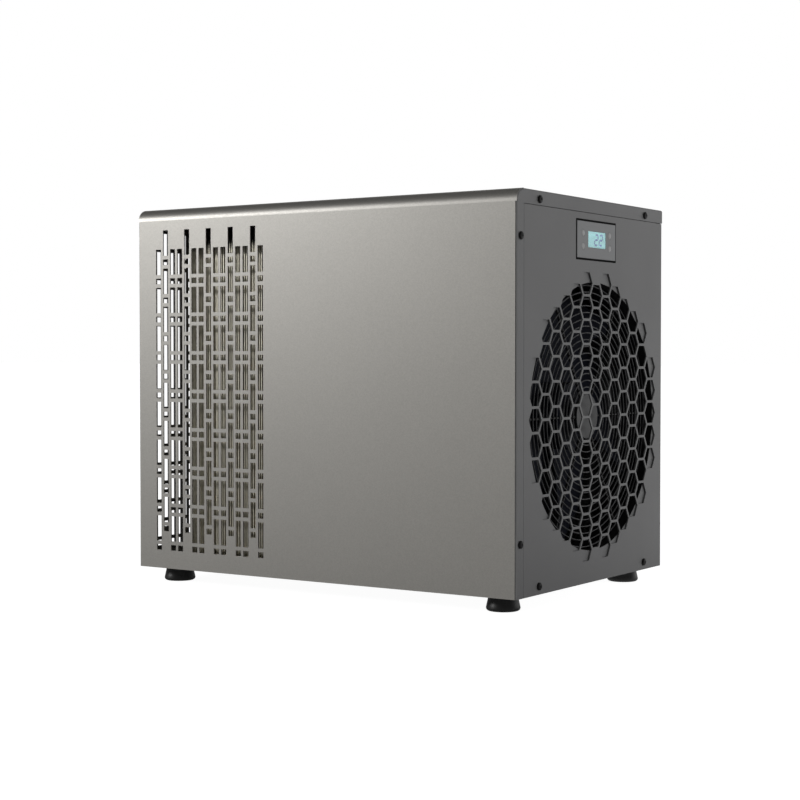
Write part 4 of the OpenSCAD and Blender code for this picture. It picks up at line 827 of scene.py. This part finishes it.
def cable_gland():
    """A hexagonal flange under a ribbed dome nut, with a threaded shank through the panel."""
    low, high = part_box("gland_body")
    middle = (low + high) / 2
    outside, thread, bore, cap = 20.0, 8.0, 4.0, 10.0
    pitch, thread_depth, first_thread, last_thread, edge = 1.5, 0.6, 0.8, -0.2, 0.5
    flange, flange_h, flange_gap, flange_chamfer = 12.5, 5.0, 0.5, 0.8
    cap_h, dome = 14.5, 3.2
    mouth = [(cap - 4.2, 18.2), (bore + 1.2, 18.9), (bore + 0.6, outside), (bore, outside - edge)]
    panel = high.y - outside * MM
    inside = (panel - low.y) / MM
    profile = [(bore, -inside), (thread - edge, -inside), (thread, edge - inside)]
    for i in range(int((inside - pitch) / pitch)):
        start = first_thread - inside + pitch * i
        profile += [(thread, start), (thread - thread_depth, start + pitch / 2)]
    profile += [(thread, last_thread), (thread, flange_h)]
    profile += [(cap - edge, flange_h), (cap, flange_h + edge), (cap, cap_h)]
    profile += arc((cap - dome, cap_h), dome, 15, 75, 4)
    profile += mouth
    bm = turned(profile, steps=72)
    notch_round(bm, count=24, depth=0.35, beyond=cap - 0.3, phase=1, low=flange_h + 0.2, high=cap_h + 1)
    ring = hexagon_ring(flange, thread + flange_gap, flange_h, flange_chamfer)
    into(bm, ring, Matrix.Identity(4))
    ring.free()
    place = Matrix.Translation((middle.x, panel, middle.z))
    bmesh.ops.transform(bm, matrix=place @ TO_REAR, verts=bm.verts)
    finish_piece(bm, "ribbed_cable_gland", "cabinet", "black_plastic", "gland_body")


hose_port("water_inlet")
hose_port("water_outlet")
cable_gland()


# Controller

def display_panel():
    """The display behind its window: a raised rim round a lit field that lies a little deeper."""
    low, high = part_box("display")
    middle = (low + high) / 2
    gap, rim, step = DISPLAY_GAP * MM, DISPLAY_RIM * MM, DISPLAY_STEP * MM
    size = high - low
    bm = bmesh.new()
    bmesh.ops.create_grid(bm, x_segments=1, y_segments=1, size=0.5)
    bmesh.ops.scale(bm, verts=bm.verts, vec=(size.z, size.y, 1))
    bmesh.ops.solidify(bm, geom=bm.faces[:], thickness=size.x - gap)
    bmesh.ops.transform(bm, matrix=TO_FAN_END, verts=bm.verts)
    front = max(v.co.x for v in bm.verts)
    bmesh.ops.translate(bm, verts=bm.verts, vec=(high.x - gap - front, middle.y, middle.z))
    bmesh.ops.recalc_face_normals(bm, faces=bm.faces)
    face = max(bm.faces, key=lambda f: f.calc_center_median().x)
    bmesh.ops.inset_region(bm, faces=[face], thickness=rim, depth=0)
    bmesh.ops.inset_region(bm, faces=[face], thickness=step, depth=-step)
    finish_piece(bm, "lit_display", "cabinet", "display_film", "display")


def seven_segments(lit, middle, width, height, bar, thick):
    """One slanted digit of a seven-segment display, in y and z about its middle, facing +X."""
    slant, gap = 0.18, 0.12 * bar
    half_w, half_h = (width - bar) / 2, (height - bar) / 2
    spans = {
        "a": ((-half_w, half_h), (half_w, half_h)),
        "b": ((half_w, half_h), (half_w, 0)),
        "c": ((half_w, 0), (half_w, -half_h)),
        "d": ((-half_w, -half_h), (half_w, -half_h)),
        "e": ((-half_w, 0), (-half_w, -half_h)),
        "f": ((-half_w, half_h), (-half_w, 0)),
        "g": ((-half_w, 0), (half_w, 0)),
    }
    digit = bmesh.new()
    for segment in lit:
        a, b = (Vector(p) for p in spans[segment])
        way = (b - a).normalized()
        across = Vector((-way.y, way.x)) * bar / 2
        start, end = a + way * gap, b - way * gap
        inner = way * bar / 2
        outline = [start, start + inner + across, end - inner + across, end, end - inner - across,
                   start + inner - across]
        places = [(middle.x, middle.y + p.x + slant * p.y, middle.z + p.y) for p in outline]
        face = digit.faces.new([digit.verts.new(place) for place in places])
        made = bmesh.ops.extrude_face_region(digit, geom=[face])
        bmesh.ops.translate(digit, verts=raised_points(made), vec=(thick, 0, 0))
    bmesh.ops.recalc_face_normals(digit, faces=digit.faces)
    return digit


def display_digits():
    """The number on the display: two seven-segment digits just in front of the lit field."""
    low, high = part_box("display")
    middle = (low + high) / 2
    front = high.x - (DISPLAY_GAP + DISPLAY_STEP) * MM
    shift, spread = 4.6 * MM, 4.6 * MM
    width, height, bar, thick = 7.8 * MM, 11.2 * MM, 1.7 * MM, 0.06 * MM
    digit_two = "abged"
    bm = bmesh.new()
    for side in (-1, 1):
        place = Vector((front, middle.y + shift + side * spread, middle.z))
        digit = seven_segments(digit_two, place, width, height, bar, thick)
        into(bm, digit, Matrix.Identity(4))
        digit.free()
    finish_piece(bm, "display_digits", "cabinet", "display_film", material=digit_ink)


def round_key(node):
    """A softly domed key with a rounded rim and the collar that keeps it in the housing."""
    low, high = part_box(node)
    middle = (low + high) / 2
    length = (high.x - low.x) / MM
    key, key_round, crown = 3.0, 0.3, 0.22
    # Radii on the crown, each with the share of the crown's height that is lost there
    crown_falls = [(2.0, 0.45), (1.0, 0.12), (0.0, 0.0)]
    collar, collar_h, collar_edge = 4.0, 1.0, 0.2
    profile = [(0, 0), (collar - collar_edge, 0), (collar, collar_edge), (collar, collar_h - collar_edge)]
    profile += [(collar - collar_edge, collar_h), (key, collar_h)]
    profile += arc((key - key_round, length - crown - key_round), key_round, 0, 70, 4)
    profile += [(radius, length - crown * fall) for radius, fall in crown_falls]
    bm = turned(profile, steps=48, solid=True)
    place = Matrix.Translation((low.x, middle.y, middle.z))
    bmesh.ops.transform(bm, matrix=place @ TO_FAN_END, verts=bm.verts)
    body = node.replace("key_", "") + "_key"
    finish_piece(bm, "domed_" + node, body, "controller_plastic", node, material=key_tint, crease=40)


display_panel()
display_digits()
for name in ("key_power", "key_mode", "key_up", "key_down"):
    round_key(name)


# Stage, light and camera

def world_light():
    """Even grey light; the picture sees white, and glossy surfaces a white backdrop in a dim room."""
    dim_room = (0.10, 0.10, 0.10, 1)
    world = bpy.data.worlds.new("studio")
    scene.world = world
    world.use_nodes = True
    tree = world.node_tree
    tree.nodes.clear()
    rays = add(tree, "LightPath").outputs
    way = add(tree, "SeparateXYZ", {"Vector": add(tree, "TexCoord").outputs["Generated"]}).outputs
    behind = faded(tree, way["Y"], 0.3, 0.75)
    low_down = faded(tree, way["Z"], 0.25, 0.6, 1.0, 0.0)
    room = mixed(tree, math_node(tree, "MULTIPLY", behind, low_down), dim_room, WHITE)
    mirrored = math_node(tree, "MAXIMUM", rays["Is Glossy Ray"], rays["Is Transmission Ray"])
    seen = mixed(tree, mirrored, MID_GREY, room)
    shown = mixed(tree, rays["Is Camera Ray"], seen, WHITE)
    light = add(tree, "Background", {"Color": shown, "Strength": 1.0})
    output = tree.nodes.new("ShaderNodeOutputWorld")
    tree.links.new(light.outputs["Background"], output.inputs["Surface"])


def pale_floor():
    """A wide pale floor that the picture sees as white, with the shadow left on it.

    In mirror images it is dim in front of the object and pale behind it.
    """
    half_size, floor_grey, glow = 30, (0.24, 0.24, 0.24, 1), 0.95
    sweep_from, sweep_to, front_glow, rear_glow = -0.1, 0.6, 0.1, 0.9
    material, tree, shader = start_material("pale_floor")
    texture = use(tree, GRAIN, Grain_size=10 * MM, Patch_size=800 * MM)
    toned = use(tree, TONE, Colour=floor_grey, Mask=texture["Patches"], Amount=0.02)
    tree.links.new(toned["Colour"], shader["Base Color"])
    shader["Roughness"].default_value = 0.9
    shader["Specular IOR Level"].default_value = 0.1
    rays = add(tree, "LightPath").outputs
    seen = math_node(tree, "MAXIMUM", rays["Is Camera Ray"], rays["Is Transmission Ray"])
    sweep = faded(tree, object_place(tree)["Y"], sweep_from, sweep_to, front_glow, rear_glow)
    mirrored = math_node(tree, "MULTIPLY", rays["Is Glossy Ray"], sweep)
    shown = math_node(tree, "MAXIMUM", seen, mirrored)
    tree.links.new(math_node(tree, "MULTIPLY", shown, glow), shader["Emission Strength"])
    shader["Emission Color"].default_value = WHITE
    bm = bmesh.new()
    bmesh.ops.create_grid(bm, x_segments=2, y_segments=2, size=half_size)
    mesh = bpy.data.meshes.new("floor")
    bm.to_mesh(mesh)
    bm.free()
    mesh.materials.append(material)
    floor = bpy.data.objects.new("floor", mesh)
    scene.collection.objects.link(floor)


def soft_lamp(name, place, target, size, power, mirrored=True):
    """A square soft lamp at a place, facing a target; it may be left out of mirror images."""
    lamp = bpy.data.lights.new(name, "AREA")
    lamp.shape = "SQUARE"
    lamp.size = size
    lamp.energy = power
    holder = bpy.data.objects.new(name, lamp)
    holder.location = place
    holder.rotation_euler = (Vector(target) - Vector(place)).to_track_quat("-Z", "Y").to_euler()
    holder.visible_glossy = mirrored
    scene.collection.objects.link(holder)


def photo_camera(place, tilt, turn, focal_length):
    """The photograph's viewpoint: a little above the floor, to the right of the front."""
    lens = bpy.data.cameras.new("camera")
    lens.sensor_width = 36
    lens.lens = focal_length
    lens.clip_end = 100
    camera = bpy.data.objects.new("camera", lens)
    camera.location = place
    camera.rotation_euler = (math.radians(tilt), 0, math.radians(turn))
    scene.collection.objects.link(camera)
    scene.camera = camera


world_light()
pale_floor()
soft_lamp("key_lamp", place=(-3.1, -2.85, 1.55), target=(0, -0.15, 0.2), size=0.6, power=53)
soft_lamp("fill_lamp", place=(2.5, 1.0, 0.25), target=(0.2, 0, 0.2), size=1.2, power=40.5, mirrored=False)
photo_camera(place=(0.9412, -1.4409, 0.2267), tilt=88.469, turn=33.551, focal_length=76.406)
scene.view_settings.view_transform = "Standard"
